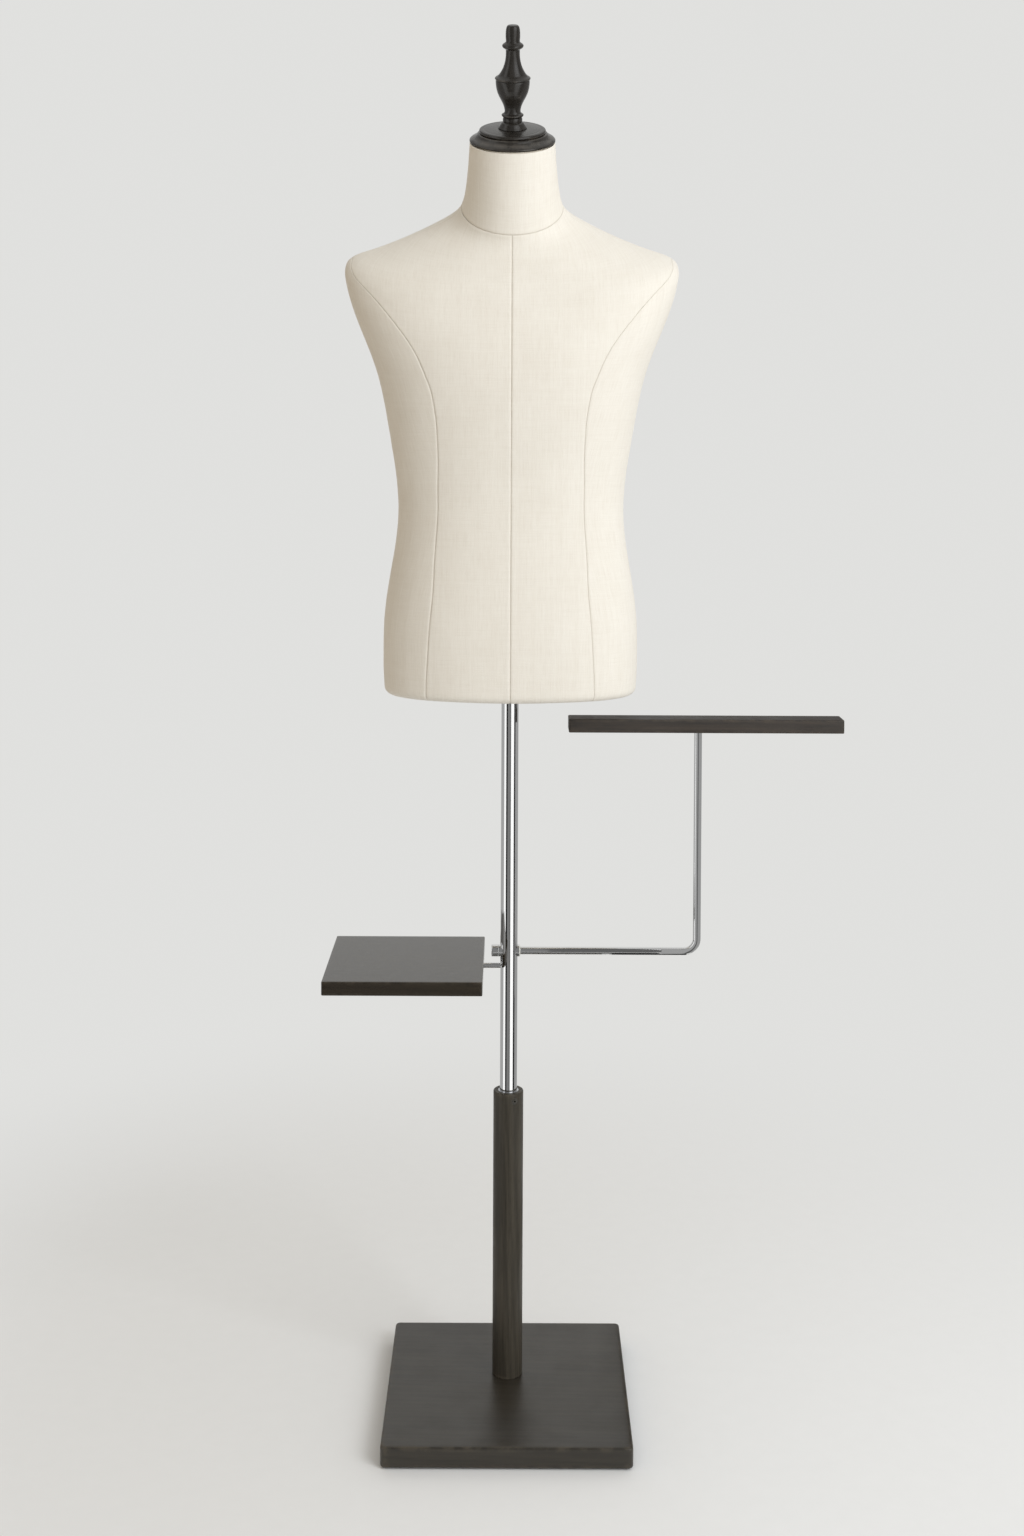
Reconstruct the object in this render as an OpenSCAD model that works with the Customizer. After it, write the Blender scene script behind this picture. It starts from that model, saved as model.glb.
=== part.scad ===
/* [Base] */
// Side of the square base board
base_side = 300; // [260:5:340]
// Thickness of the base board
base_t = 25; // [20:1:30]
// How far the base reaches forward of the column's axis, beyond its middle
base_shift = 22; // [0:1:26]
// Height of the foot pads under the base board
pad_drop = 2; // [1:0.5:4]

/* [Column and pole] */
// Outer diameter of the wooden column
column_d = 38; // [34:1:44]
// Height of the column's top above the floor
column_top = 391; // [350:1:420]
// Outer diameter of the chrome pole
pole_d = 22; // [20:1:24]
// Wall of the chrome pole
pole_wall = 1.5; // [1:0.5:2]
// Height of the pole's lower end
pole_z0 = 175; // [170:1:185]
// Height of the pole's upper end, inside the torso
pole_z1 = 1015; // [985:5:1040]

/* [Arm and bar] */
// Height of the arm's axis where it passes through the pole
arm_z = 569; // [564:1:600]
// Diameter of the arm's rod
arm_d = 10; // [8.5:0.5:12]
// Distance from the pole's axis to the arm's upright
arm_reach = 238; // [200:1:260]
// Bend radius of the arm, to the rod's centre line
arm_bend = 16; // [14:1:30]
// Height of the upright's shoulder, under the bar
upright_top = 849.5; // [800:0.5:855]
// Length of the display bar
bar_len = 346; // [300:2:380]
// Front to back size of the display bar
bar_depth = 36; // [26:1:50]
// Thickness of the display bar
bar_t = 17; // [16.5:0.5:24]
// How far the bar's middle lies outside the upright
bar_offset = 9; // [0:1:20]

/* [Tray] */
// Width of the tray, side to side
tray_w = 196; // [160:2:230]
// Depth of the tray, front to back
tray_depth = 200; // [160:2:230]
// Thickness of the tray
tray_t = 17; // [14:1:20]
// Distance from the pole's axis to the tray's near edge
tray_gap = 32; // [26:1:40]
// Height of the tray rod's axis
tray_z = 550; // [545:1:551]
// Diameter of the tray rod
tray_rod_d = 7; // [6:0.5:8]

/* [Torso] */
// Thickness of the moulded shell
shell_t = 4; // [3:0.5:5]
// Thickness of the linen cover
cover_t = 1.2; // [0.8:0.1:2]
// Thickness of the padding between the shell and the linen
padding_t = 3; // [2.2:0.1:4]
// Forward lean of the neck cap and its finial
cap_lean = 24; // [18:1:26]

/* [Hidden] */
// Radial clearance of parts that turn or slide in each other
run = 0.06;
// Gap between faces of parts that move past each other
gap = 0.1;
// Gap between curved parts of one assembly that are glued or pressed
seat = 0.05;
$fn = 48;

base_z0 = pad_drop;
base_top = pad_drop + base_t;
pole_r = pole_d / 2;
pole_bore = pole_r - pole_wall;
liner_r = pole_r + 2;
liner_z0 = 9;
arm_r = arm_d / 2;
stud_r = 4;
rod_r = tray_rod_d / 2;

// Base
ballast_side = base_side - 58;
ballast_t = 6;
ballast_hole_r = 50;
flange_r = 45;
flange_t = 5;
flange_screw_ring = 34;
pad_r = 8;
pad_at = base_side / 2 - 20;

// Height lock
lock_z = column_top - 9;
lock_turn = 25;
lock_r = 2.5;
insert_r = 4.2;

// Arm hardware along X
saddle_r = 7.8;
saddle_x = pole_r + 2;
washer_t = 1;
nut_len = 9;
nut_x = -saddle_x - gap;
block_z0 = tray_z - 18;
block_z1 = arm_z + 18;
bar_z0 = upright_top + 0.2;
insert_len = 15;
tray_sleeve_len = 58;
tray_rod_in = 8;

// Torso: one row per level, from the hem up to the neck's top
// [height at the side, half width, front, back, squareness, front drop, back rise]
levels = [
    [898, 147, 96, 90, 2.3, 0, 0],
    [900, 154.5, 103.5, 97.5, 2.35, 0, 0],
    [908, 158.5, 107.5, 101.5, 2.4, 0, 0],
    [940, 159.5, 109.5, 104, 2.4, 0, 0],
    [978, 159.5, 110, 103.5, 2.4, 0, 0],
    [1016, 156, 109, 99, 2.4, 0, 0],
    [1053, 150.5, 106.5, 92, 2.35, 0, 0],
    [1091, 144, 104, 86, 2.35, 0, 0],
    [1129, 140.5, 102.5, 82.5, 2.35, 0, 0],
    [1166, 142.5, 104, 84, 2.4, 0, 0],
    [1204, 148.5, 108, 90, 2.45, 0, 0],
    [1241, 154.5, 112, 97, 2.5, 2, 0],
    [1279, 162, 115, 102, 2.55, 7, 0],
    [1316, 172.5, 116, 105, 2.55, 14, 0],
    [1353, 187, 114, 106, 2.5, 24, 0],
    [1390, 201, 109, 104, 2.45, 36, 2],
    [1410, 206.5, 104, 100, 2.4, 40, 4],
    [1428, 209.5, 99, 96, 2.35, 42, 6],
    [1439, 207.5, 94, 92, 2.3, 41, 10],
    [1447, 198.5, 89, 88, 2.25, 39, 15],
    [1458, 166, 83, 83, 2.2, 36, 20],
    [1473, 125, 76, 75, 2.1, 35, 26],
    [1484, 96.5, 71, 67, 2.05, 35, 31],
    [1496, 73, 69.5, 60, 2, 38, 32],
    [1508, 63, 71, 51, 2, 43, 30],
    [1527, 58, 75, 40, 2, 36, 27],
    [1555, 55, 80, 28.5, 2, 28, 24],
    [1586, 53, 85, 21, 2, 23.6, 23.6]
];
neckline = 24;
neck_top = len(levels) - 1;
shoulder_tip = 18;

// Where the side panel's seams run, as [height, distance from the middle]
side_seam = [[898, 96], [1024, 95], [1096, 91], [1156, 89], [1205, 89], [1243, 91], [1277, 96],
             [1306, 105], [1340, 118], [1374, 136], [1401, 155.5], [1423, 178], [1439, 203]];

board_z = 903;
board_t = 14;
shell_out = -cover_t - padding_t;
shell_in = shell_out - shell_t;
board_inset = 3 - shell_in;
socket_r = pole_r + 2.5;
socket_top = pole_z1 + 8;
socket_flange_r = 38;
socket_flange_t = 3;
socket_screw_ring = 27;
underside_t = 1;

// ---------- helpers ----------

// Signed power, for the rounded-box outline of a level
function spow(v, p) = sign(v) * pow(abs(v), p);

// Linear look-up in a list of [height, value]
function look(t, z, i = 0) =
    i >= len(t) - 1 ? t[len(t) - 1][1] :
    z <= t[0][0] ? t[0][1] :
    z <= t[i + 1][0]
        ? t[i][1] + (t[i + 1][1] - t[i][1]) * (z - t[i][0]) / (t[i + 1][0] - t[i][0])
        : look(t, z, i + 1);

// Outward normal of the outline at a level, as [outward, up]: where is 0 at the side,
// 1 at the front and -1 at the back
function outline_normal(i, where) =
    i == neck_top ? [1, 0] :
    let (a = levels[max(i - 1, 0)],
         b = levels[i + 1],
         col = where == 0 ? 1 : where > 0 ? 2 : 3,
         lift = where == 0 ? 0 : where > 0 ? a[5] - b[5] : b[6] - a[6],
         dw = b[col] - a[col],
         dz = b[0] - a[0] + lift,
         l = sqrt(dw * dw + dz * dz))
    [dz / l, -dw / l];

// Point of the torso's surface at level i and angle a, moved out by t.
// Angle 0 is the +X side, 90 the front and 270 the back.
function skin(i, a, t) =
    let (r = levels[i],
         m = outline_normal(i, 0),
         d = outline_normal(i, sign(sin(a))),
         e = 2 / r[4],
         depth = (r[2] + r[3]) / 2,
         mid = (r[3] - r[2]) / 2,
         share = sin(a) * sin(a),
         up = t * (m[1] * (1 - share) + d[1] * share),
         tilt = i == neck_top ? (depth + t) / depth : 1,
         lift = (sin(a) > 0 ? r[5] : r[6]) * tilt)
    [(r[1] + t * m[0]) * spow(cos(a), e),
     mid - (depth + t * d[0]) * spow(sin(a), e),
     r[0] + up - lift * sin(a)];

// Angle at which the side panel's seam crosses level i
function seam_angle(i) =
    let (r = levels[i], x = min(look(side_seam, r[0]) / r[1], 0.985))
    acos(pow(x, r[4] / 2));

// Closed solid between an outer and an inner grid of points, given as rows
module skin_solid(outer, inner, closed = false) {
    rows = len(outer);
    cols = len(outer[0]);
    n = rows * cols;
    last = closed ? cols : cols - 1;
    function at(r, c) = r * cols + (c % cols);
    outer_faces = [for (r = [0:rows - 2]) for (c = [0:last - 1]) for (k = [0, 1])
        k == 0 ? [at(r, c), at(r + 1, c), at(r + 1, c + 1)]
               : [at(r, c), at(r + 1, c + 1), at(r, c + 1)]];
    inner_faces = [for (f = outer_faces) [f[2] + n, f[1] + n, f[0] + n]];
    rim_low = [for (c = [0:last - 1]) for (k = [0, 1])
        k == 0 ? [at(0, c), at(0, c + 1), at(0, c + 1) + n]
               : [at(0, c), at(0, c + 1) + n, at(0, c) + n]];
    rim_high = [for (c = [0:last - 1]) for (k = [0, 1])
        k == 0 ? [at(rows - 1, c + 1), at(rows - 1, c), at(rows - 1, c) + n]
               : [at(rows - 1, c + 1), at(rows - 1, c) + n, at(rows - 1, c + 1) + n]];
    side_first = closed ? [] : [for (r = [0:rows - 2]) for (k = [0, 1])
        k == 0 ? [at(r + 1, 0), at(r, 0), at(r, 0) + n]
               : [at(r + 1, 0), at(r, 0) + n, at(r + 1, 0) + n]];
    side_last = closed ? [] : [for (r = [0:rows - 2]) for (k = [0, 1])
        k == 0 ? [at(r, cols - 1), at(r + 1, cols - 1), at(r, cols - 1) + n]
               : [at(r + 1, cols - 1), at(r + 1, cols - 1) + n, at(r, cols - 1) + n]];
    polyhedron(
        points = concat([for (r = outer) for (p = r) p], [for (r = inner) for (p = r) p]),
        faces = concat(outer_faces, inner_faces, rim_low, rim_high, side_first, side_last),
        convexity = 6);
}

// Strip of the torso from level i0 to i1 and between two lists of angles, one pair a level
module torso_strip(i0, i1, from, to, cols, t_in, t_out) {
    function row(i, t) = [for (c = [0:cols])
        skin(i, from[i - i0] + (to[i - i0] - from[i - i0]) * c / cols, t)];
    skin_solid([for (i = [i0:i1]) row(i, t_out)], [for (i = [i0:i1]) row(i, t_in)]);
}

// Level outline of the torso, drawn flat and moved in by m
module level_outline(i, m) {
    r = levels[i];
    e = 2 / r[4];
    mid = (r[3] - r[2]) / 2;
    polygon([for (a = [0:7.5:352.5])
        [(r[1] - m) * spow(cos(a), e), mid + ((r[2] + r[3]) / 2 - m) * spow(sin(a), e)]]);
}

// Slab with rounded upright corners, centred on X and Y, standing on Z = 0
module slab(w, d, h, r) {
    linear_extrude(height = h) {
        square([w - 2 * r, d], center = true);
        square([w, d - 2 * r], center = true);
        for (sx = [-1, 1]) for (sy = [-1, 1])
            translate([sx * (w / 2 - r), sy * (d / 2 - r)]) circle(r = r, $fn = 24);
    }
}

// Rod along X from x0 to x1
module rod_x(x0, x1, r) {
    translate([x0, 0, 0]) rotate([0, 90, 0]) cylinder(h = x1 - x0, r = r);
}

// Countersunk wood screw, head down, its head's face at Z = 0 and its point up
module wood_screw(r, head_r, length) {
    difference() {
        rotate_extrude() polygon([[0, 0], [head_r, 0], [head_r, 0.4], [r, head_r - r + 0.4],
                                  [r, length - 2 * r], [0, length]]);
        for (a = [0, 90]) rotate([0, 0, a])
            translate([-head_r * 0.55, -0.4, -1]) cube([head_r * 1.1, 0.8, 1.9]);
    }
}

// Hole that the same screw leaves, with a little air round it
module screw_hole(r, head_r, length) {
    rotate_extrude() polygon([[0, -1], [head_r + seat, -1], [head_r + seat, 0.45],
                              [r + seat, head_r - r + 0.5], [r + seat, length + 0.2],
                              [0, length + 0.2]]);
}

// Places at the four corners of a square
module corners(at) {
    for (sx = [-1, 1]) for (sy = [-1, 1]) translate([sx * at, sy * at, 0]) children();
}

// Places round a ring, four of them, turned off the axes
module ring_of_four(r) {
    for (a = [45:90:315]) rotate([0, 0, a]) translate([r, 0, 0]) children();
}

// The neck cap's own frame: its foot on the neck's top, leaning forward
module on_neck() {
    r = levels[neck_top];
    translate([0, (r[3] - r[2]) / 2, r[0]]) rotate([cap_lean, 0, 0]) children();
}

// The lock screw's own frame: X points out of the column, towards the front right
module at_lock() {
    translate([0, 0, lock_z]) rotate([0, 0, lock_turn - 90]) children();
}

// ---------- base ----------

module base_board() {
    color([0.24, 0.235, 0.21])
    difference() {
        translate([0, -base_shift, base_z0]) slab(base_side, base_side, base_t, 6);
        translate([0, -base_shift, base_z0 - 1]) slab(ballast_side + 1, ballast_side + 1,
                                                      ballast_t + 2, 3);
        translate([0, -base_shift, base_z0 - 1]) corners(pad_at) cylinder(h = 2, r = pad_r + seat);
        translate([0, -base_shift, base_z0 + 1]) corners(pad_at) cylinder(h = 14, r = 2 + seat);
        translate([0, -base_shift, base_z0 + ballast_t]) corners(ballast_side / 2 - 14)
            cylinder(h = 13, r = 2 + seat);
        ring_of_four(flange_screw_ring) translate([0, 0, base_z0 + 6]) cylinder(h = 14, r = 2 + seat);
        cylinder(h = 60, r = liner_r + seat);
    }
}

module foot_pads() {
    color([0.08, 0.08, 0.08])
    translate([0, -base_shift, 0]) corners(pad_at) difference() {
        cylinder(h = base_z0 + 1, r = pad_r);
        translate([0, 0, 0.6]) screw_hole(2, 4, 14);
        translate([0, 0, -1]) cylinder(h = 2, r = 4 + seat);
    }
}

module foot_screws() {
    color([0.7, 0.7, 0.72])
    translate([0, -base_shift, 0.6]) corners(pad_at) wood_screw(2, 4, 14);
}

module centre_pad() {
    color([0.1, 0.1, 0.1])
    cylinder(h = 3.8, r = flange_r + 1);
}

module ballast_plate() {
    color([0.45, 0.46, 0.48])
    difference() {
        translate([0, -base_shift, base_z0 + 0.6]) slab(ballast_side, ballast_side, ballast_t - 0.2, 3);
        translate([0, 0, -1]) cylinder(h = 20, r = ballast_hole_r);
        translate([0, -base_shift, base_z0 + 0.6]) corners(ballast_side / 2 - 14)
            screw_hole(2, 4, 16);
    }
}

module ballast_screws() {
    color([0.7, 0.7, 0.72])
    translate([0, -base_shift, base_z0 + 0.6]) corners(ballast_side / 2 - 14) wood_screw(2, 4, 16);
}

module liner_flange() {
    color([0.5, 0.5, 0.52])
    difference() {
        translate([0, 0, liner_z0 - flange_t]) cylinder(h = flange_t - seat, r = flange_r);
        ring_of_four(flange_screw_ring) translate([0, 0, liner_z0 - flange_t]) screw_hole(2, 4, 16);
    }
}

module flange_screws() {
    color([0.7, 0.7, 0.72])
    ring_of_four(flange_screw_ring) translate([0, 0, liner_z0 - flange_t]) wood_screw(2, 4, 15);
}

// ---------- column ----------

module column_liner() {
    color([0.62, 0.63, 0.65])
    difference() {
        translate([0, 0, liner_z0]) cylinder(h = column_top - liner_z0, r = liner_r);
        translate([0, 0, liner_z0 + 3]) cylinder(h = column_top, r = pole_r + run);
        at_lock() rod_x(0, 40, lock_r + run);
    }
}

module column_sleeve() {
    color([0.27, 0.26, 0.235])
    difference() {
        translate([0, 0, base_top]) rotate_extrude() polygon([
            [0, 0], [column_d / 2, 0], [column_d / 2, column_top - base_top - 1],
            [column_d / 2 - 1, column_top - base_top], [0, column_top - base_top]]);
        cylinder(h = column_top + 1, r = liner_r + seat);
        at_lock() rod_x(0, 40, insert_r + seat);
    }
}

module lock_insert() {
    color([0.2, 0.2, 0.2])
    at_lock() difference() {
        rod_x(liner_r + 0.1, column_d / 2 - 0.4, insert_r);
        rod_x(0, 40, lock_r + run);
    }
}

module height_lock_screw() {
    color([0.2, 0.2, 0.2])
    at_lock() difference() {
        rod_x(pole_r + 0.3, column_d / 2 + 0.4, lock_r);
        rod_x(column_d / 2 - 2.6, column_d / 2 + 2, 1.4, $fn = 6);
    }
}

// ---------- pole ----------

module pole_foot_bush() {
    color([0.9, 0.9, 0.86])
    translate([0, 0, pole_z0 - gap]) {
        translate([0, 0, -10]) cylinder(h = 10, r = pole_r);
        cylinder(h = 24, r = pole_bore - run);
    }
}

module pole_tube() {
    color([0.8, 0.81, 0.83])
    difference() {
        translate([0, 0, pole_z0]) cylinder(h = pole_z1 - pole_z0, r = pole_r);
        translate([0, 0, pole_z0 - 1]) cylinder(h = pole_z1 - pole_z0 + 2, r = pole_bore);
        translate([0, 0, arm_z]) rod_x(-20, 20, stud_r + run);
        translate([0, 0, tray_z]) rod_x(-20, 0, rod_r + run);
        translate([0, 0, tray_z]) rotate([0, 0, 90]) rod_x(0, 20, 2.5 + seat);
    }
}

module pole_top_plug() {
    color([0.15, 0.15, 0.15])
    translate([0, 0, pole_z1]) {
        cylinder(h = 2.5, r = pole_r);
        translate([0, 0, -14]) cylinder(h = 14, r = pole_bore - seat);
    }
}

module arm_block() {
    color([0.6, 0.6, 0.62])
    difference() {
        translate([0, 0, block_z0]) cylinder(h = block_z1 - block_z0, r = pole_bore - seat);
        translate([0, 0, arm_z]) rod_x(-20, 20, stud_r + run);
        translate([0, 0, tray_z]) rod_x(-20, tray_rod_in, rod_r + run);
        translate([0, 0, tray_z]) rotate([0, 0, 90]) rod_x(0, 20, 2.5 + seat);
    }
}

// Washer with one side hollowed to sit on the round pole
module saddle_washer(side) {
    translate([0, 0, arm_z]) difference() {
        rod_x(side > 0 ? 6 : -saddle_x, side > 0 ? saddle_x : -6, saddle_r);
        rod_x(-30, 30, stud_r + run);
        translate([0, 0, -20]) cylinder(h = 40, r = pole_r + seat);
    }
}

module arm_saddle() {
    color([0.8, 0.81, 0.83]) saddle_washer(1);
}

module nut_saddle() {
    color([0.8, 0.81, 0.83]) saddle_washer(-1);
}

module tray_grub_screw() {
    color([0.2, 0.2, 0.2])
    translate([0, 0, tray_z]) rotate([0, 0, 90]) difference() {
        rod_x(rod_r + 0.3, pole_r - 0.4, 2.5);
        rod_x(pole_r - 3, pole_r + 1, 1.4, $fn = 6);
    }
}

// ---------- arm and display bar ----------

module friction_washer() {
    color([0.85, 0.85, 0.82])
    translate([0, 0, arm_z]) difference() {
        rod_x(saddle_x + gap, saddle_x + washer_t, 7);
        rod_x(0, 30, stud_r + seat);
    }
}

module bar_arm() {
    x0 = saddle_x + washer_t;
    xb = arm_reach - arm_bend;
    zb = arm_z + arm_bend;
    color([0.8, 0.81, 0.83]) {
        translate([0, 0, arm_z]) rod_x(-saddle_x - nut_len + 2, x0, stud_r);
        translate([0, 0, arm_z]) rod_x(x0, xb, arm_r);
        translate([xb, 0, zb]) rotate([90, 0, 0]) rotate([0, 0, -90])
            rotate_extrude(angle = 90) translate([arm_bend, 0]) circle(r = arm_r);
        translate([arm_reach, 0, zb]) cylinder(h = upright_top - zb, r = arm_r);
        translate([arm_reach, 0, upright_top]) cylinder(h = insert_len - 2, r = stud_r);
    }
}

module arm_cap_nut() {
    color([0.8, 0.81, 0.83])
    translate([0, 0, arm_z]) difference() {
        rotate([0, -90, 0]) rotate_extrude() polygon([
            [0, -nut_x], [saddle_r, -nut_x], [saddle_r, nut_len - nut_x - 0.8],
            [saddle_r - 0.8, nut_len - nut_x], [0, nut_len - nut_x]]);
        rod_x(nut_x - nut_len + 2, 0, stud_r + run);
        rod_x(nut_x - nut_len - 1, nut_x - nut_len + 1.6, 2.5, $fn = 6);
    }
}

module bar_board() {
    color([0.29, 0.265, 0.235])
    translate([arm_reach, 0, bar_z0]) difference() {
        translate([bar_offset, 0, 0]) slab(bar_len, bar_depth, bar_t, 2);
        translate([0, 0, -1]) cylinder(h = insert_len + 1.2, r = 7 + seat);
        translate([0, 0, -1]) cylinder(h = 2.5, r = 9 + seat);
    }
}

module bar_insert() {
    color([0.72, 0.6, 0.35])
    translate([arm_reach, 0, bar_z0]) difference() {
        union() {
            cylinder(h = insert_len, r = 7);
            cylinder(h = 1.4, r = 9);
        }
        translate([0, 0, -1]) cylinder(h = insert_len, r = stud_r + run);
    }
}

// ---------- tray ----------

module tray_board() {
    color([0.3, 0.29, 0.27])
    difference() {
        translate([-tray_gap - tray_w / 2, 0, tray_z - tray_t / 2]) slab(tray_w, tray_depth, tray_t, 2);
        translate([0, 0, tray_z]) rod_x(-tray_gap - tray_sleeve_len - 0.2, 0, rod_r + 2.5 + seat);
        for (x = [18, 44]) translate([-tray_gap - x, 0, tray_z - tray_t / 2 - 0.1])
            cylinder(h = 7, r = 3 + seat);
    }
}

module tray_rod() {
    color([0.8, 0.81, 0.83])
    translate([0, 0, tray_z]) difference() {
        rod_x(-tray_gap - tray_sleeve_len + 4, tray_rod_in - gap, rod_r);
        for (x = [18, 44]) translate([-tray_gap - x, 0, -6]) cylinder(h = 5, r = 1.5 + seat);
    }
}

module tray_sleeve() {
    color([0.6, 0.6, 0.62])
    translate([0, 0, tray_z]) difference() {
        rod_x(-tray_gap - tray_sleeve_len, -tray_gap, rod_r + 2.5);
        rod_x(-tray_gap - tray_sleeve_len + 3, 0, rod_r + seat);
        for (x = [18, 44]) translate([-tray_gap - x, 0, -9]) cylinder(h = 8, r = 1.5 + seat);
    }
}

module tray_screws() {
    color([0.7, 0.7, 0.72])
    for (x = [18, 44]) translate([-tray_gap - x, 0, tray_z - tray_t / 2 + 0.2]) difference() {
        union() {
            cylinder(h = 7, r = 1.5);
            cylinder(h = 1.6, r = 2.8);
        }
        translate([0, 0, -1]) cylinder(h = 2, r = 1.2, $fn = 6);
    }
}

// ---------- torso ----------

// Half of the moulded shell, over half a turn from the given angle
module torso_shell(from) {
    first = [for (i = [0:neck_top]) from + 0.06];
    last = [for (i = [0:neck_top]) from + 179.94];
    torso_strip(0, neck_top, first, last, 16, shell_in, shell_out);
}

module torso_shell_front() {
    color([0.82, 0.78, 0.7])
    torso_shell(0);
}

module torso_shell_back() {
    color([0.82, 0.78, 0.7])
    torso_shell(180);
}

module bottom_board() {
    color([0.75, 0.66, 0.5])
    difference() {
        translate([0, 0, board_z]) linear_extrude(height = board_t) level_outline(1, board_inset);
        translate([0, 0, board_z - 1]) cylinder(h = 60, r = socket_r + seat);
        ring_of_four(socket_screw_ring) translate([0, 0, board_z - 1]) cylinder(h = 13, r = 2 + seat);
    }
}

module cover_underside() {
    color([0.87, 0.84, 0.78])
    difference() {
        translate([0, 0, board_z - underside_t - seat]) linear_extrude(height = underside_t)
            level_outline(0, 2 - shell_in);
        translate([0, 0, board_z - 5]) cylinder(h = 10, r = socket_r + seat);
        ring_of_four(socket_screw_ring) translate([0, 0, board_z - 5]) cylinder(h = 10, r = 2 + seat);
    }
}

module socket_flange() {
    color([0.6, 0.6, 0.62])
    translate([0, 0, board_z - underside_t - 2 * seat - socket_flange_t]) difference() {
        cylinder(h = socket_flange_t, r = socket_flange_r);
        translate([0, 0, -1]) cylinder(h = 10, r = socket_r + seat);
        ring_of_four(socket_screw_ring) screw_hole(2, 4, 12);
    }
}

module socket_screws() {
    color([0.7, 0.7, 0.72])
    translate([0, 0, board_z - underside_t - 2 * seat - socket_flange_t])
        ring_of_four(socket_screw_ring) wood_screw(2, 4, 14);
}

module socket_tube() {
    color([0.6, 0.6, 0.62])
    translate([0, 0, board_z - underside_t - 2 * seat - socket_flange_t]) difference() {
        cylinder(h = socket_top - board_z + 4, r = socket_r);
        translate([0, 0, -1]) cylinder(h = socket_top, r = pole_r + run);
    }
}

module socket_stop() {
    color([0.2, 0.2, 0.2])
    translate([0, 0, pole_z1 + 2.5 + gap]) cylinder(h = 5, r = pole_r - 0.1);
}

// ---------- neck ----------

module neck_block() {
    color([0.75, 0.66, 0.5])
    on_neck() difference() {
        translate([0, 0, -22]) cylinder(h = 21.7, r = 43);
        translate([0, 0, -18]) cylinder(h = 30, r = 5 + seat);
        ring_of_four(28) translate([0, 0, -16]) cylinder(h = 30, r = 2 + seat);
    }
}

module cap_screws() {
    color([0.7, 0.7, 0.72])
    on_neck() ring_of_four(28) translate([0, 0, 8]) mirror([0, 0, 1]) wood_screw(2, 4, 22);
}

module neck_cap_lower() {
    color([0.16, 0.155, 0.15])
    on_neck() difference() {
        rotate_extrude($fn = 72) polygon([
            [0, 0.1], [50.5, 0.1], [52.4, 0.5], [53.3, 1.5], [53.3, 2.3], [52.6, 3.2], [50.4, 4.6],
            [47.6, 6], [45.2, 7.8], [43.8, 9.6], [42.6, 10.9], [41.2, 11.3], [0, cap_step]]);
        translate([0, 0, -1]) cylinder(h = 30, r = 5 + seat);
        ring_of_four(28) translate([0, 0, 8]) mirror([0, 0, 1]) screw_hole(2, 4, 22);
        ring_of_four(28) translate([0, 0, 8]) cylinder(h = 8, r = 4 + seat);
    }
}

module neck_cap_upper() {
    color([0.16, 0.155, 0.15])
    on_neck() difference() {
        rotate_extrude($fn = 72) polygon([
            [0, cap_step], [39.8, cap_step], [41, 12.2], [41.3, 13.4], [41, 14.6], [39.8, 15.6],
            [37.4, 16.1], [33, 16.4], [26, 16.7], [0, finial_z]]);
        translate([0, 0, 5]) cylinder(h = 30, r = 5 + seat);
    }
}

// Heights of the upper cap's and the finial's foot above the neck's top
cap_step = 11.4;
finial_z = 17;

// Turned outline of the finial, as [radius, height above its foot]: foot, lower beads,
// urn with its lip, upper bead and the barrel at the tip
finial_outline = [
    [0, 0], [17.8, 0], [17.8, 0.7], [17, 1.6], [15.8, 3.2], [14.7, 5.1], [13.6, 6.6], [12.4, 7.5],
    [11.6, 7.8], [12, 8.6], [12.1, 10.2], [12, 11.6], [11.5, 13.2], [10.8, 13.8], [12.6, 14.6],
    [13.6, 15.8], [13.6, 16.6], [12.4, 17.8], [10.6, 18.6], [9.8, 20.4], [9.9, 23], [10.7, 26.6],
    [12.1, 30.4], [14.2, 34.6], [16.6, 39], [18.7, 43.8], [20.1, 49], [20.8, 54.6], [20.9, 58.6],
    [20.3, 59.4], [20.4, 60], [21.8, 60.8], [21.8, 62], [20.8, 62.8], [18.4, 64.2], [16.3, 66.4],
    [14.2, 69.6], [12, 73.8], [10.3, 78.6], [9.2, 83.4], [8.6, 88.4], [8.5, 92.6], [8.6, 96],
    [9.6, 97], [11.6, 98.2], [12.8, 99.6], [13.1, 100.8], [12.7, 102], [11.2, 103.4],
    [9.2, 104.6], [8.5, 105.4], [8.5, 107.7], [8.8, 110.8], [8.8, 116.4], [8.4, 120.4],
    [7.7, 123.2], [6.3, 125.3], [0, 125.7]];

module finial() {
    color([0.15, 0.145, 0.14])
    on_neck() translate([0, 0, finial_z]) difference() {
        rotate_extrude($fn = 56) polygon(finial_outline);
        translate([0, 0, -1]) cylinder(h = 21, r = 5 + seat);
    }
}

module finial_dowel() {
    color([0.75, 0.66, 0.5])
    on_neck() translate([0, 0, -17]) cylinder(h = finial_z + 36, r = 5);
}

// ---------- linen cover ----------

linen = [0.89, 0.865, 0.81];

// Angle of the side panel's edge at a level; the panel ends in a point over the shoulder's tip
function side_edge(i) = i <= shoulder_tip ? seam_angle(i) : i == shoulder_tip + 1 ? 0.5 : 0;

// Body panel between two angles a level, given on the +X side; mirrored for the other side
module body_panel(i1, from, to, cols) {
    torso_strip(0, i1, from, to, cols, -cover_t, 0);
}

module front_panel() {
    body_panel(neckline, [for (i = [0:neckline]) side_edge(i)], [for (i = [0:neckline]) 90], 12);
}

module side_panel() {
    last = shoulder_tip + 1;
    body_panel(last, [for (i = [0:last]) -side_edge(i)], [for (i = [0:last]) side_edge(i)], 8);
}

module back_panel() {
    body_panel(neckline, [for (i = [0:neckline]) -90], [for (i = [0:neckline]) -side_edge(i)], 12);
}

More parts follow.
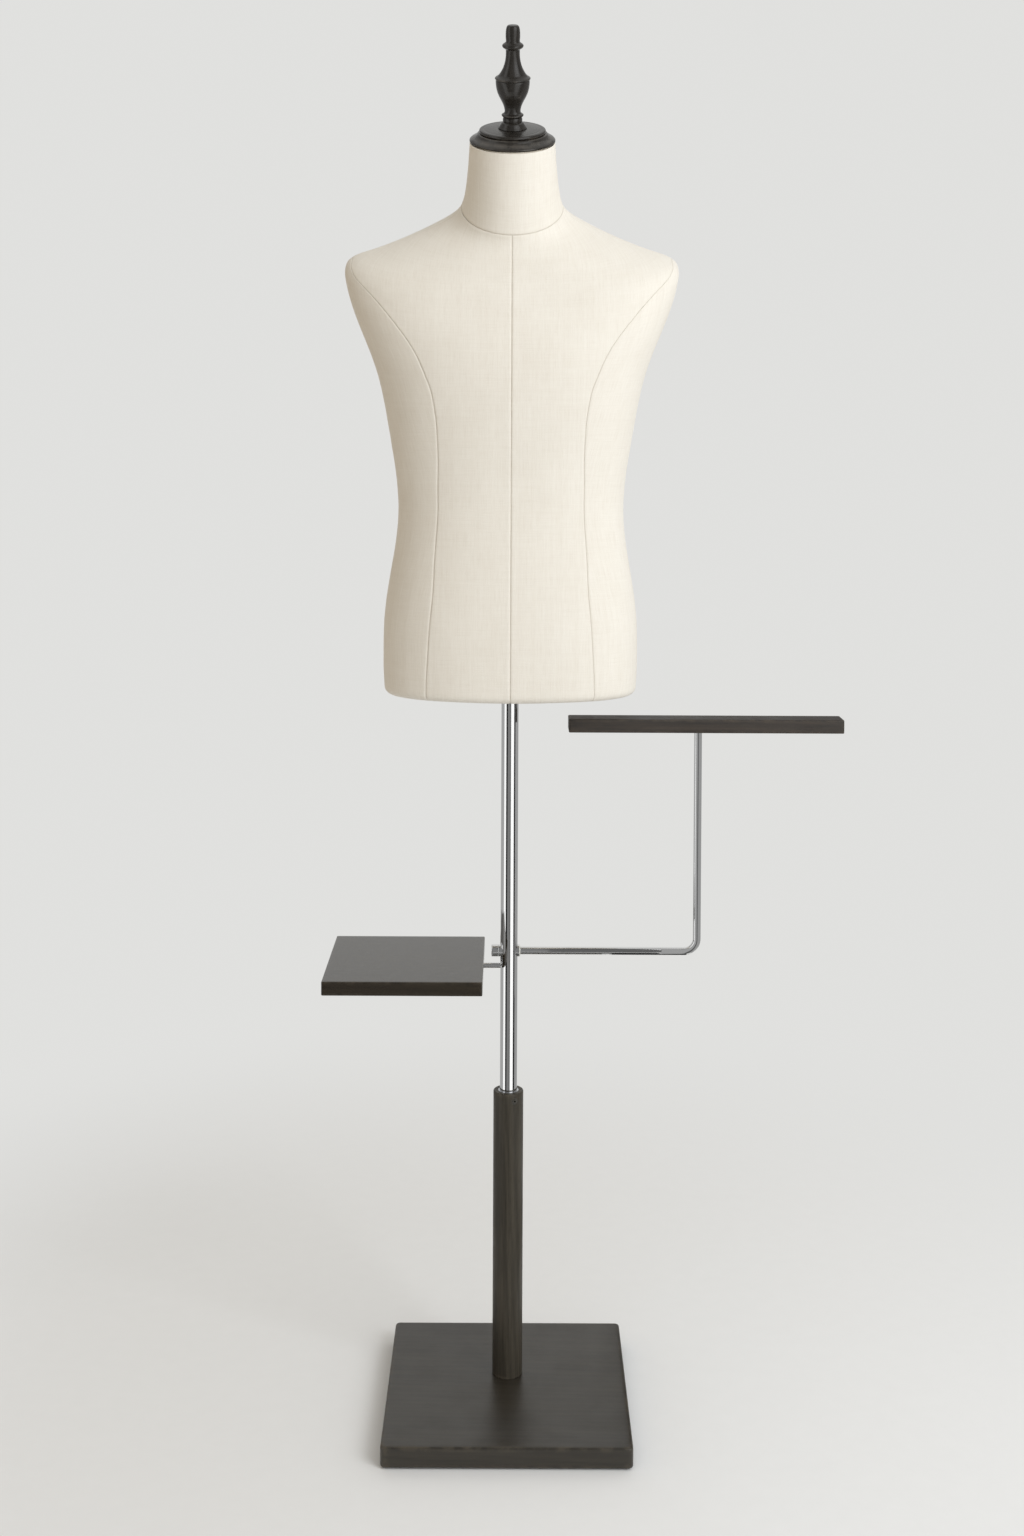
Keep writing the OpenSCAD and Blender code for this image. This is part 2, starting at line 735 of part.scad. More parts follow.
module cover_front_left() {
    color(linen) mirror([1, 0, 0]) front_panel();
}

module cover_front_right() {
    color(linen) front_panel();
}

module cover_side_left() {
    color(linen) mirror([1, 0, 0]) side_panel();
}

module cover_side_right() {
    color(linen) side_panel();
}

module cover_back_left() {
    color(linen) mirror([1, 0, 0]) back_panel();
}

module cover_back_right() {
    color(linen) back_panel();
}

module cover_neck() {
    cols = 28;
    function row(i, t) = [for (c = [0:cols - 1]) skin(i, 360 * c / cols, t)];
    color(linen) skin_solid(
        [for (i = [neckline:neck_top]) row(i, 0)],
        [for (i = [neckline:neck_top]) row(i, -cover_t)], closed = true);
}

base_board();
foot_pads();
foot_screws();
centre_pad();
ballast_plate();
ballast_screws();
liner_flange();
flange_screws();
column_liner();
column_sleeve();
lock_insert();
height_lock_screw();
pole_foot_bush();
pole_tube();
pole_top_plug();
arm_block();
arm_saddle();
nut_saddle();
tray_grub_screw();
friction_washer();
bar_arm();
arm_cap_nut();
bar_board();
bar_insert();
tray_board();
tray_rod();
tray_sleeve();
tray_screws();
torso_shell_front();
torso_shell_back();
bottom_board();
cover_underside();
socket_flange();
socket_screws();
socket_tube();
socket_stop();
neck_block();
cap_screws();
neck_cap_lower();
neck_cap_upper();
finial();
finial_dowel();
cover_front_left();
cover_front_right();
cover_side_left();
cover_side_right();
cover_back_left();
cover_back_right();
cover_neck();
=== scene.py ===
import math

import bpy
import numpy as np
from mathutils import Matrix, Vector, noise


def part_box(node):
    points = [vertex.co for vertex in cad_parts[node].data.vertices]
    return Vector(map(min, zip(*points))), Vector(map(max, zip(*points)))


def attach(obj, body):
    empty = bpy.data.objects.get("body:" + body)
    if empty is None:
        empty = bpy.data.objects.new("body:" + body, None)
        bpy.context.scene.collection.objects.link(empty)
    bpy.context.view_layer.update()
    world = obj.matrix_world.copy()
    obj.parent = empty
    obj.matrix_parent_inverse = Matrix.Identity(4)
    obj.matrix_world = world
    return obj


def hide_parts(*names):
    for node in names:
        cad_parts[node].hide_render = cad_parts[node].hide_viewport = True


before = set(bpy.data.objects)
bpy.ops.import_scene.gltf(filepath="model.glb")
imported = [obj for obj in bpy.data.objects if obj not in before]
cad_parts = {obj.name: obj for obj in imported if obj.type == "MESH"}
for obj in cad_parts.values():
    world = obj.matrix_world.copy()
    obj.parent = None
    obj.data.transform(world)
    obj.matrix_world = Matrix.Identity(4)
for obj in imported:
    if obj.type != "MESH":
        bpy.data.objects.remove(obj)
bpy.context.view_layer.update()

MM = 0.001


# ---------------------------------------------------------------- node helpers

def node(nt, kind, ins=(), **props):
    """A shader node with its properties and inputs set; an input is a number or another node's output."""
    n = nt.nodes.new("ShaderNode" + kind)
    for k, v in props.items():
        setattr(n, k, v)
    for k, v in dict(ins).items():
        if isinstance(v, bpy.types.NodeSocket):
            nt.links.new(v, n.inputs[k])
        else:
            n.inputs[k].default_value = v
    return n


def calc(nt, op, a, b=None, clamp=False):
    """One step of arithmetic on shader values."""
    ins = {0: a} if b is None else {0: a, 1: b}
    return node(nt, "Math", ins, operation=op, use_clamp=clamp).outputs[0]


def mix(nt, f, a, b):
    """Colour a at 0 to colour b at 1."""
    return node(nt, "Mix", {0: f, 6: a, 7: b}, data_type="RGBA").outputs[2]


def span(nt, v, lo, hi, to_lo=0.0, to_hi=1.0):
    """v from lo..hi to to_lo..to_hi, held at the ends."""
    return node(nt, "MapRange", {0: v, 1: lo, 2: hi, 3: to_lo, 4: to_hi}).outputs[0]


def stretch(nt, vec, scale, at=(0, 0, 0)):
    return node(nt, "Mapping", {0: vec, 1: at, 3: scale}).outputs[0]


def fog(nt, vec, scale=1.0, detail=2.0, rough=0.5, distort=0.0):
    """Cloudy noise, 0 to 1."""
    n = node(nt, "TexNoise", {"Vector": vec, "Scale": scale, "Detail": detail,
                            "Roughness": rough, "Distortion": distort})
    return n.outputs[0]


def attr(nt, name):
    return node(nt, "Attribute", attribute_name=name).outputs["Fac"]


def new_mat(name, colour, **sockets):
    """A material with one Principled shader; sockets holds the values that are the same all over."""
    m = bpy.data.materials.new(name)
    m.use_nodes = True
    m.diffuse_color = (*colour[:3], 1)
    nt = m.node_tree
    b = nt.nodes["Principled BSDF"]
    b.inputs["Base Color"].default_value = (*colour[:3], 1)
    for k, v in sockets.items():
        b.inputs[k.replace("_", " ")].default_value = v
    return m, nt, b


def plug(nt, b, **links):
    for k, v in links.items():
        nt.links.new(v, b.inputs[k.replace("_", " ")])


def bump(nt, height, strength, distance, normal=None):
    ins = {"Height": height, "Strength": strength, "Distance": distance}
    if normal is not None:
        ins["Normal"] = normal
    return node(nt, "Bump", ins).outputs[0]


def linear(c):
    """Linear light from the screen's 0 to 1."""
    return c / 12.92 if c <= 0.04045 else ((c + 0.055) / 1.055) ** 2.4


def rgb(r, g, b):
    """Linear colour from the screen's 0 to 255."""
    return (linear(r / 255), linear(g / 255), linear(b / 255), 1.0)


AXES = {"X": (1, 0, 0), "Y": (0, 1, 0), "Z": (0, 0, 1), "": (1, 1, 1)}


def lengthwise(axis, low, high):
    """Texture scale: low along the axis and high across it, or low all ways when the axis is empty."""
    return tuple(low if k else high for k in AXES[axis])


# ---------------------------------------------------------------- materials

THREAD = 0.00072


def linen_material():
    """Plain linen: woven threads with painted shade in their gaps, slubs, faint bands, painted shade and
    grime along the seams' lines, and the seams' pucker.
    """
    m, nt, b = new_mat("linen", (0.80, 0.755, 0.68), Roughness=0.9, Sheen_Weight=0.15,
                       Sheen_Roughness=0.45, Specular_IOR_Level=0.2)
    uv = node(nt, "UVMap", uv_map="cloth").outputs[0]
    wobble = node(nt, "TexNoise", {"Vector": uv, "Scale": 160.0, "Detail": 1.0})
    drift = node(nt, "VectorMath", {0: wobble.outputs["Color"], 1: (0.5, 0.5, 0.5)},
               operation="SUBTRACT").outputs[0]
    drift = node(nt, "VectorMath", {0: drift, 3: 0.0011}, operation="SCALE").outputs[0]
    at = node(nt, "VectorMath", {0: uv, 1: drift}, operation="ADD").outputs[0]
    xyz = node(nt, "SeparateXYZ", {0: at})
    # plain weave: warp and weft threads, each over and under the other
    turn = math.pi / THREAD
    su = calc(nt, "SINE", calc(nt, "MULTIPLY", xyz.outputs[0], turn))
    sv = calc(nt, "SINE", calc(nt, "MULTIPLY", xyz.outputs[1], turn))
    over = calc(nt, "MULTIPLY", su, sv)
    gap = calc(nt, "MAXIMUM", calc(nt, "ABSOLUTE", su), calc(nt, "ABSOLUTE", sv))
    weave = calc(nt, "ADD", calc(nt, "MULTIPLY", over, 0.35), gap)
    # slubs: thick and thin places along single threads, both ways
    slub_v = fog(nt, stretch(nt, uv, (900, 46, 1)), 1.0, 3.0, 0.6)
    slub_h = fog(nt, stretch(nt, uv, (40, 860, 1), (7.3, 2.1, 0)), 1.0, 3.0, 0.6)
    thick_v = span(nt, slub_v, 0.44, 0.74)
    thick_h = span(nt, slub_h, 0.44, 0.74)
    band_v = fog(nt, stretch(nt, uv, (260, 5, 1), (1.3, 9.1, 0)), 1.0, 2.0, 0.55)
    band_h = fog(nt, stretch(nt, uv, (4, 230, 1), (3.7, 5.2, 0)), 1.0, 2.0, 0.55)
    nep = span(nt, fog(nt, uv, 620.0, 2.0, 0.6), 0.69, 0.80)
    cloud = fog(nt, uv, 16.0, 3.0, 0.55)
    tone = calc(nt, "ADD", calc(nt, "MULTIPLY", thick_v, 0.34), calc(nt, "MULTIPLY", thick_h, 0.18))
    tone = calc(nt, "ADD", tone, span(nt, band_v, 0.3, 0.7, -0.09, 0.09))
    tone = calc(nt, "ADD", tone, span(nt, band_h, 0.3, 0.7, -0.05, 0.05))
    tone = calc(nt, "ADD", tone, span(nt, cloud, 0.3, 0.7, -0.09, 0.09))
    # darker in the gaps between the threads: painted shade
    tone = calc(nt, "ADD", tone, span(nt, gap, 0.45, 0.95, 0.18, 0.0))
    tone = calc(nt, "ADD", tone, 0.24, clamp=True)
    c = mix(nt, tone, rgb(233, 228, 218), rgb(217, 209, 196))
    c = mix(nt, calc(nt, "MULTIPLY", nep, 0.25), c, rgb(186, 170, 145))
    # darker along each seam: painted shade in the seam's groove, with some grime
    seam = span(nt, attr(nt, "seam"), 0.0, 0.0010, 0.30, 0.0)
    c = mix(nt, seam, c, rgb(160, 148, 126))
    pucker = node(nt, "TexWave", {"Vector": uv, "Scale": 42.0, "Distortion": 5.0, "Detail": 2.0,
                                "Detail Scale": 3.0}, bands_direction="Y").outputs[1]
    near = span(nt, attr(nt, "seam"), 0.0012, 0.009, 1.0, 0.0)
    folds = calc(nt, "MULTIPLY", pucker, near)
    n1 = bump(nt, folds, 0.16, 0.0005)
    lumps = calc(nt, "ADD", thick_v, thick_h)
    n2 = bump(nt, lumps, 0.22, 0.0002, n1)
    n3 = bump(nt, weave, 0.35, 0.00011, n2)
    plug(nt, b, Base_Color=c, Normal=n3, Roughness=span(nt, tone, 0.0, 1.0, 0.86, 0.96))
    return m


def wood_material(name, dark, light, worn_and_highlight, along="X", rough=(0.34, 0.50), lines=1.0, turned=False,
                  specular=0.5):
    """Stained wood: grain runs along one axis, pores, faint year lines and lighter rubbed edges: worn finish,
    and on turned rims also painted highlights.
    """
    m, nt, b = new_mat(name, dark, Specular_IOR_Level=specular)
    co = node(nt, "TexCoord").outputs["Object"]
    broad = fog(nt, stretch(nt, co, lengthwise(along, 3.5, 48)), 1.0, 4.0, 0.6, 0.7)
    fine = fog(nt, stretch(nt, co, lengthwise(along, 14, 420)), 1.0, 3.0, 0.6)
    pores = fog(nt, stretch(nt, co, lengthwise(along, 55, 1500), (0.3, 0.7, 0.1)))
    pores = span(nt, pores, 0.56, 0.72)
    bent = node(nt, "TexWave", {"Vector": stretch(nt, co, lengthwise(along, 1.2, 22)), "Scale": 2.4,
                                "Distortion": 7.0, "Detail": 3.0, "Detail Scale": 1.3},
                bands_direction="DIAGONAL").outputs[1]
    f = calc(nt, "ADD", calc(nt, "MULTIPLY", broad, 0.55), calc(nt, "MULTIPLY", fine, 0.45))
    f = span(nt, f, 0.30, 0.72)
    f = calc(nt, "ADD", calc(nt, "MULTIPLY", f, 0.75), calc(nt, "MULTIPLY", bent, 0.25 * lines))
    f = calc(nt, "SUBTRACT", f, calc(nt, "MULTIPLY", pores, 0.30), clamp=True)
    c = mix(nt, f, dark, light)
    rub = fog(nt, stretch(nt, co, (60, 60, 60)), 1.0, 4.0, 0.65)
    # lighter where rubbed: worn finish, and on the turned pieces' rims also painted highlights
    wear_and_highlight = calc(nt, "MULTIPLY", attr(nt, "wear_and_highlight"), span(nt, rub, 0.44, 0.62), clamp=True)
    c = mix(nt, calc(nt, "MULTIPLY", wear_and_highlight, 0.45), c, worn_and_highlight)
    smudge = fog(nt, co, 26.0, 3.0, 0.6)
    r = span(nt, calc(nt, "ADD", calc(nt, "MULTIPLY", smudge, 0.7), calc(nt, "MULTIPLY", fine, 0.3)),
             0.35, 0.65, rough[0], rough[1])
    r = calc(nt, "ADD", r, calc(nt, "MULTIPLY", wear_and_highlight, 0.12))
    h = calc(nt, "ADD", calc(nt, "MULTIPLY", pores, -1.0), calc(nt, "MULTIPLY", fine, 0.5))
    n1 = bump(nt, h, 0.06 if turned else 0.22, 0.00018)
    n2 = bump(nt, rub, 0.04, 0.0004, n1)
    if turned:
        ring = node(nt, "TexWave", {"Vector": attr_vec(nt, "turn"), "Scale": 260.0, "Distortion": 1.2},
                  bands_direction="Z").outputs[1]
        n2 = bump(nt, ring, 0.10, 0.00008, n2)
    plug(nt, b, Base_Color=c, Roughness=r, Normal=n2)
    return m


def attr_vec(nt, name):
    """A vector that holds a number attribute along Z."""
    return node(nt, "CombineXYZ", {2: attr(nt, name)}).outputs[0]


def metal_material(name, colour, rough, streak, along="Z", stain=None, specks=0.0):
    """Metal: fine marks along one axis, hazy patches, and grime in patches where stain is given."""
    m, nt, b = new_mat(name, colour, Metallic=1.0)
    co = node(nt, "TexCoord").outputs["Object"]
    line = fog(nt, stretch(nt, co, lengthwise(along, 9, 1900)), 1.0, 2.0, 0.5)
    haze = fog(nt, co, 34.0, 3.0, 0.6)
    r = span(nt, haze, 0.35, 0.70, rough[0], rough[1])
    r = calc(nt, "ADD", r, span(nt, line, 0.4, 0.7, 0.0, streak))
    if specks:
        spot = span(nt, fog(nt, co, 900.0, 2.0, 0.6), 0.66, 0.78)
        r = calc(nt, "ADD", r, calc(nt, "MULTIPLY", spot, specks))
    if stain is not None:
        f = span(nt, haze, 0.50, 0.78, 0.0, 0.55)
        plug(nt, b, Base_Color=mix(nt, f, (*colour[:3], 1), stain))
    plug(nt, b, Roughness=r, Normal=bump(nt, line, 0.04 if streak > 0.05 else 0.0, 0.00004))
    return m


def moulded_material(name, colour, other, rough, grain_size, depth=0.00012):
    """Moulded or cast stuff: fine surface grain, blotches and a little roughness change."""
    m, nt, b = new_mat(name, colour)
    co = node(nt, "TexCoord").outputs["Object"]
    grit = fog(nt, co, grain_size, 3.0, 0.6)
    blot = fog(nt, co, 22.0, 4.0, 0.6)
    c = mix(nt, span(nt, blot, 0.35, 0.68), colour, other)
    c = mix(nt, span(nt, grit, 0.52, 0.75, 0.0, 0.35), c, other)
    r = span(nt, blot, 0.35, 0.65, rough[0], rough[1])
    plug(nt, b, Base_Color=c, Roughness=r, Normal=bump(nt, grit, 0.3, depth))
    return m


BLACK_X = wood_material("black_wood_x", rgb(38, 34, 28), rgb(57, 52, 43), rgb(96, 86, 70), "X", (0.29, 0.40))
TRAY_WOOD = wood_material("tray_wood", rgb(34, 29, 22), rgb(50, 43, 33), rgb(84, 75, 62), "X", (0.10, 0.16))
BLACK_Z = wood_material("black_wood_z", rgb(43, 40, 34), rgb(77, 71, 61), rgb(100, 92, 78), "Z", (0.34, 0.46),
                        specular=0.22)
BAR = wood_material("bar_wood", rgb(26, 21, 16), rgb(62, 51, 40), rgb(90, 78, 62), "X", (0.50, 0.64))
TURNED = wood_material("turned_wood", rgb(31, 28, 25), rgb(49, 45, 40), rgb(98, 91, 82), "Z",
                       (0.22, 0.30), 0.4, turned=True)
CHROME = metal_material("chrome", (0.82, 0.822, 0.825), (0.03, 0.06), 0.015)
CHROME_X = metal_material("chrome_x", (0.82, 0.822, 0.825), (0.035, 0.065), 0.0, "")
LINEN = linen_material()
SHELL = moulded_material("moulded_shell", (0.62, 0.57, 0.48, 1), (0.50, 0.44, 0.35, 1), (0.6, 0.8), 420.0)
PLAIN = wood_material("plain_wood", (0.42, 0.30, 0.18, 1), (0.60, 0.47, 0.31, 1), (0.66, 0.54, 0.38, 1), "X",
                      (0.62, 0.78))
STEEL = metal_material("steel", (0.56, 0.57, 0.59), (0.26, 0.40), 0.12, "Z", (0.42, 0.41, 0.38, 1), 0.1)
LOCK = moulded_material("lock_screw_finish", rgb(46, 43, 37), rgb(62, 58, 50), (0.38, 0.52), 900.0, 0.00004)
BLACK_STEEL = metal_material("black_steel", (0.05, 0.05, 0.052), (0.34, 0.5), 0.1, "Z",
                             (0.10, 0.085, 0.07, 1), 0.1)
BRASS = metal_material("brass", (0.70, 0.54, 0.27), (0.2, 0.34), 0.1, "Z", (0.42, 0.30, 0.13, 1))
RUBBER = moulded_material("rubber", (0.022, 0.022, 0.023, 1), (0.05, 0.048, 0.045, 1), (0.72, 0.9), 900.0)
NYLON = moulded_material("nylon", (0.78, 0.78, 0.73, 1), (0.66, 0.65, 0.59, 1), (0.38, 0.52), 700.0, 0.00005)
BLACK_PLASTIC = moulded_material("black_plastic", (0.025, 0.025, 0.026, 1), (0.045, 0.044, 0.042, 1),
                                 (0.45, 0.6), 800.0)


# ---------------------------------------------------------------- mesh helpers

def mesh_object(name, verts, faces, mat, body, stands_for=(), sharp=35, attrs=None, uv=None):
    """A smooth shaded object from points in metres, riding on its body."""
    me = bpy.data.meshes.new(name)
    me.from_pydata([tuple(v) for v in verts], [], faces)
    me.validate()
    for key, values in (attrs or {}).items():
        a = me.attributes.new(key, "FLOAT", "POINT")
        a.data.foreach_set("value", np.asarray(values, np.float32))
    if uv is not None:
        layer = me.uv_layers.new(name="cloth")
        corner = np.zeros(len(me.loops), np.int32)
        me.loops.foreach_get("vertex_index", corner)
        layer.data.foreach_set("uv", np.asarray(uv, np.float32)[corner].ravel())
    me.shade_smooth()
    me.set_sharp_from_angle(angle=math.radians(sharp))
    o = bpy.data.objects.new(name, me)
    bpy.context.scene.collection.objects.link(o)
    me.materials.append(mat)
    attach(o, body)
    if stands_for:
        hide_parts(*stands_for)
    return o


def rounded(profile, r, steps=3):
    """The profile with each inner corner eased by up to r."""
    out = [profile[0]]
    for i in range(1, len(profile) - 1):
        p, a, b = (Vector(profile[k]) for k in (i, i - 1, i + 1))
        da, db = (a - p), (b - p)
        ra, rb = min(r, da.length * 0.42), min(r, db.length * 0.42)
        if ra < 1e-7 or rb < 1e-7:
            out.append(tuple(p))
            continue
        s, e = p + da.normalized() * ra, p + db.normalized() * rb
        for k in range(steps + 1):
            t = k / steps
            q = s * (1 - t) ** 2 + p * 2 * t * (1 - t) + e * t * t
            out.append((q.x, q.y))
    out.append(profile[-1])
    return out


def lathe(name, profile, mat, body, stands_for=(), seg=96, place=None, sharp=40, wear_and_highlight_at=()):
    """Turned piece. profile is (radius, height) in mm from the bottom up and round the outside;
    place is its matrix; wear_and_highlight_at lists (height, reach) in mm where the finish is rubbed lighter,
    which on the neck cap's and finial's rims is also a painted highlight."""
    verts, faces, wear_and_highlight, turn, rings = [], [], [], [], []
    for r, h in profile:
        if r < 1e-6:
            rings.append([len(verts)])
            verts.append((0.0, 0.0, h * MM))
        else:
            rings.append(list(range(len(verts), len(verts) + seg)))
            for k in range(seg):
                a = 2 * math.pi * k / seg
                verts.append((r * MM * math.cos(a), r * MM * math.sin(a), h * MM))
        n = len(verts) - len(wear_and_highlight)
        w = max([0.0] + [1 - abs(h - at) / reach for at, reach in wear_and_highlight_at])
        wear_and_highlight += [w] * n
        turn += [h * MM] * n
    for lo, hi in zip(rings, rings[1:]):
        for k in range(seg):
            n = (k + 1) % seg
            if len(lo) == 1 and len(hi) == 1:
                continue
            if len(lo) == 1:
                faces.append((lo[0], hi[n], hi[k]))
            elif len(hi) == 1:
                faces.append((lo[k], lo[n], hi[0]))
            else:
                faces.append((lo[k], lo[n], hi[n], hi[k]))
    if place is not None:
        verts = [tuple(place @ Vector(v)) for v in verts]
    return mesh_object(name, verts, faces, mat, body, stands_for, sharp, {"wear_and_highlight": wear_and_highlight, "turn": turn})


def outline(w, d, r, arc=5):
    """Rounded rectangle, with extra points near its corners, and how worn each point is, as the shared wear
    and highlight factor.
    """
    pts, wear_and_highlight = [], []
    step = 6.0
    for cx, cy, a0 in ((w - r, d - r, 0), (r - w, d - r, 90), (r - w, r - d, 180), (w - r, r - d, 270)):
        ends = []
        for k in range(arc + 1):
            a = math.radians(a0 + 90 * k / arc)
            ends.append((cx + r * math.cos(a), cy + r * math.sin(a)))
        a, b = math.radians(a0), math.radians(a0 + 90)
        before = (ends[0][0] + step * math.sin(a), ends[0][1] - step * math.cos(a))
        after = (ends[-1][0] - step * math.sin(b), ends[-1][1] + step * math.cos(b))
        pts += [before] + ends + [after]
        wear_and_highlight += [0.0] + [0.55] * len(ends) + [0.0]
    return pts, wear_and_highlight


def board(name, lo, hi, corner, edge, mat, body, stands_for, recess=None):
    """Wooden board between two corner points, with rounded edges; recess is (margin, depth) in mm
    of a sunk field underneath."""
    lo, hi = Vector(lo) / MM, Vector(hi) / MM
    w, d = (hi.x - lo.x) / 2, (hi.y - lo.y) / 2
    c = (lo + hi) / 2
    band = 3.5
    rows = []
    arc = [(edge * (1 - math.cos(a)), edge * (1 - math.sin(a))) for a in np.linspace(0, math.pi / 2, 5)]
    if recess:
        rows += [(recess[0] + 0.01, lo.z + recess[1], 0), (recess[0], lo.z + recess[1] - 0.6, 0),
                 (recess[0], lo.z + 0.4, 0.2), (recess[0] - 0.4, lo.z, 0.4)]
    else:
        rows += [(edge + 2 * band, lo.z, 0)]
    rows += [(edge + band, lo.z, 0)]
    rows += [(e, lo.z + dz, 1 - abs(e - edge / 2) / edge) for e, dz in reversed(arc)]
    rows += [(0, lo.z + edge + band, 0), (0, hi.z - edge - band, 0)]
    rows += [(e, hi.z - dz, 1 - abs(e - edge / 2) / edge) for e, dz in arc]
    rows += [(edge + band, hi.z, 0), (edge + 2 * band, hi.z, 0)]
    verts, wear_and_highlight, faces, n = [], [], [], 0
    for inset, z, worn_and_highlight in rows:
        pts, at_corner = outline(w - inset, d - inset, max(corner - inset, 0.4))
        n = len(pts)
        verts += [((c.x + x) * MM, (c.y + y) * MM, z * MM) for x, y in pts]
        wear_and_highlight += [min(1.0, worn_and_highlight + (k if inset < band else 0)) for k in at_corner]
    for i in range(len(rows) - 1):
        for k in range(n):
            a, b = i * n + k, i * n + (k + 1) % n
            faces.append((a, b, b + n, a + n))
    faces.append(tuple(reversed(range(n))))
    faces.append(tuple(range((len(rows) - 1) * n, len(rows) * n)))
    return mesh_object(name, verts, faces, mat, body, stands_for, 32, {"wear_and_highlight": wear_and_highlight})


def cut(o, *tools):
    """o less each closed tool, which is used up."""
    for t in tools:
        m = o.modifiers.new("cut", "BOOLEAN")
        m.object, m.operation, m.solver = t, "DIFFERENCE", "EXACT"
    bpy.context.view_layer.update()
    me = bpy.data.meshes.new_from_object(o.evaluated_get(bpy.context.evaluated_depsgraph_get()))
    me.set_sharp_from_angle(angle=math.radians(32))
    o.modifiers.clear()
    old, o.data = o.data, me
    bpy.data.meshes.remove(old)
    for t in tools:
        bpy.data.objects.remove(t, do_unlink=True)


def plain_cutter(profile, place=None, seg=40):
    """Closed turned tool for cut(), free of any body."""
    o = lathe("tool", profile, BLACK_X, "base", seg=seg, place=place)
    o.parent = None
    return o


def rod(name, path, radii, mat, body, stands_for, seg=40):
    """Round rod through points in the XZ plane, in mm, with a radius at each."""
    verts, faces = [], []
    p = [Vector((x, 0, z)) for x, z in path]
    side = Vector((0, 1, 0))
    for i, q in enumerate(p):
        a = (q - p[i - 1]).normalized() if i and (q - p[i - 1]).length > 1e-6 else None
        b = (p[i + 1] - q).normalized() if i < len(p) - 1 and (p[i + 1] - q).length > 1e-6 else None
        t = ((a or b) + (b or a)).normalized()
        up = side.cross(t)
        for k in range(seg):
            g = 2 * math.pi * k / seg
            v = q + (side * math.cos(g) + up * math.sin(g)) * radii[i]
            verts.append(tuple(v * MM))
    for i in range(len(p) - 1):
        for k in range(seg):
            n = (k + 1) % seg
            faces.append((i * seg + k, (i + 1) * seg + k, (i + 1) * seg + n, i * seg + n))
    faces.append(tuple(range(seg)))
    faces.append(tuple(reversed(range((len(p) - 1) * seg, len(p) * seg))))
    return mesh_object(name, verts, faces, mat, body, stands_for, 38)


# ---------------------------------------------------------------- torso shape

# [height at the side, half width, front, back, squareness, front drop, back rise], mm
LEVELS = np.array([
    [898, 147, 96, 90, 2.3, 0, 0], [900, 154.5, 103.5, 97.5, 2.35, 0, 0],
    [908, 158.5, 107.5, 101.5, 2.4, 0, 0], [940, 159.5, 109.5, 104, 2.4, 0, 0],
    [978, 159.5, 110, 103.5, 2.4, 0, 0], [1016, 156, 109, 99, 2.4, 0, 0],
    [1053, 150.5, 106.5, 92, 2.35, 0, 0], [1091, 144, 104, 86, 2.35, 0, 0],
    [1129, 140.5, 102.5, 82.5, 2.35, 0, 0], [1166, 142.5, 104, 84, 2.4, 0, 0],
    [1204, 148.5, 108, 90, 2.45, 0, 0], [1241, 154.5, 112, 97, 2.5, 2, 0],
    [1279, 162, 115, 102, 2.55, 7, 0], [1316, 172.5, 116, 105, 2.55, 14, 0],
    [1353, 187, 114, 106, 2.5, 24, 0], [1390, 201, 109, 104, 2.45, 36, 2],
    [1410, 206.5, 104, 100, 2.4, 40, 4], [1428, 209.5, 99, 96, 2.35, 42, 6],
    [1439, 207.5, 94, 92, 2.3, 41, 10], [1447, 198.5, 89, 88, 2.25, 39, 15],
    [1458, 166, 83, 83, 2.2, 36, 20], [1473, 125, 76, 75, 2.1, 35, 26],
    [1484, 96.5, 71, 67, 2.05, 35, 31], [1496, 73, 69.5, 60, 2, 38, 32],
    [1508, 63, 71, 51, 2, 43, 30], [1527, 58, 75, 40, 2, 36, 27],
    [1555, 55, 80, 28.5, 2, 28, 24], [1586, 53, 85, 21, 2, 23.6, 23.6]], float)
# [height, distance from the middle] of the side panel's seams
SIDE_SEAM = np.array([[898, 96], [1024, 95], [1096, 91], [1156, 89], [1205, 89], [1243, 91], [1277, 96],
                      [1306, 105], [1340, 118], [1374, 136], [1401, 155.5], [1423, 178],
                      [1437, 197]], float)
HEM, NECKLINE, TOP = 898.0, 1508.0, 1586.0
# height of the shoulder's widest turn, and of the point where a side panel ends on it
SHOULDER, TIP = 1437.0, 1446.5
# thickness of the cloth, and how far it dips at a seam
CLOTH, SEAM_DIP = 0.9, 0.6


def pchip(x, y, q):
    """Smooth curve through the points that doesn't overshoot them."""
    h, d = np.diff(x), np.diff(y) / np.diff(x)
    m = np.zeros(len(y))
    w1, w2 = 2 * h[1:] + h[:-1], h[1:] + 2 * h[:-1]
    same = d[:-1] * d[1:] > 0
    safe0, safe1 = np.where(same, d[:-1], 1.0), np.where(same, d[1:], 1.0)
    m[1:-1] = np.where(same, (w1 + w2) / (w1 / safe0 + w2 / safe1), 0.0)
    m[0], m[-1] = d[0], d[-1]
    k = np.clip(np.searchsorted(x, q) - 1, 0, len(h) - 1)
    t = (q - x[k]) / h[k]
    return ((1 + 2 * t) * (1 - t) ** 2 * y[k] + t * (1 - t) ** 2 * h[k] * m[k]
            + t * t * (3 - 2 * t) * y[k + 1] + t * t * (t - 1) * h[k] * m[k + 1])


def smooth(values, sigma):
    """Gaussian blur along the first axis that keeps straight ends straight."""
    n = int(4 * sigma) + 1
    k = np.exp(-0.5 * (np.arange(-n, n + 1) / sigma) ** 2)
    k /= k.sum()
    head = 2 * values[0] - values[n:0:-1]
    tail = 2 * values[-1] - values[-2:-n - 2:-1]
    v = np.concatenate([head, values, tail])
    return np.stack([np.convolve(v[:, c], k, "valid") for c in range(v.shape[1])], 1)


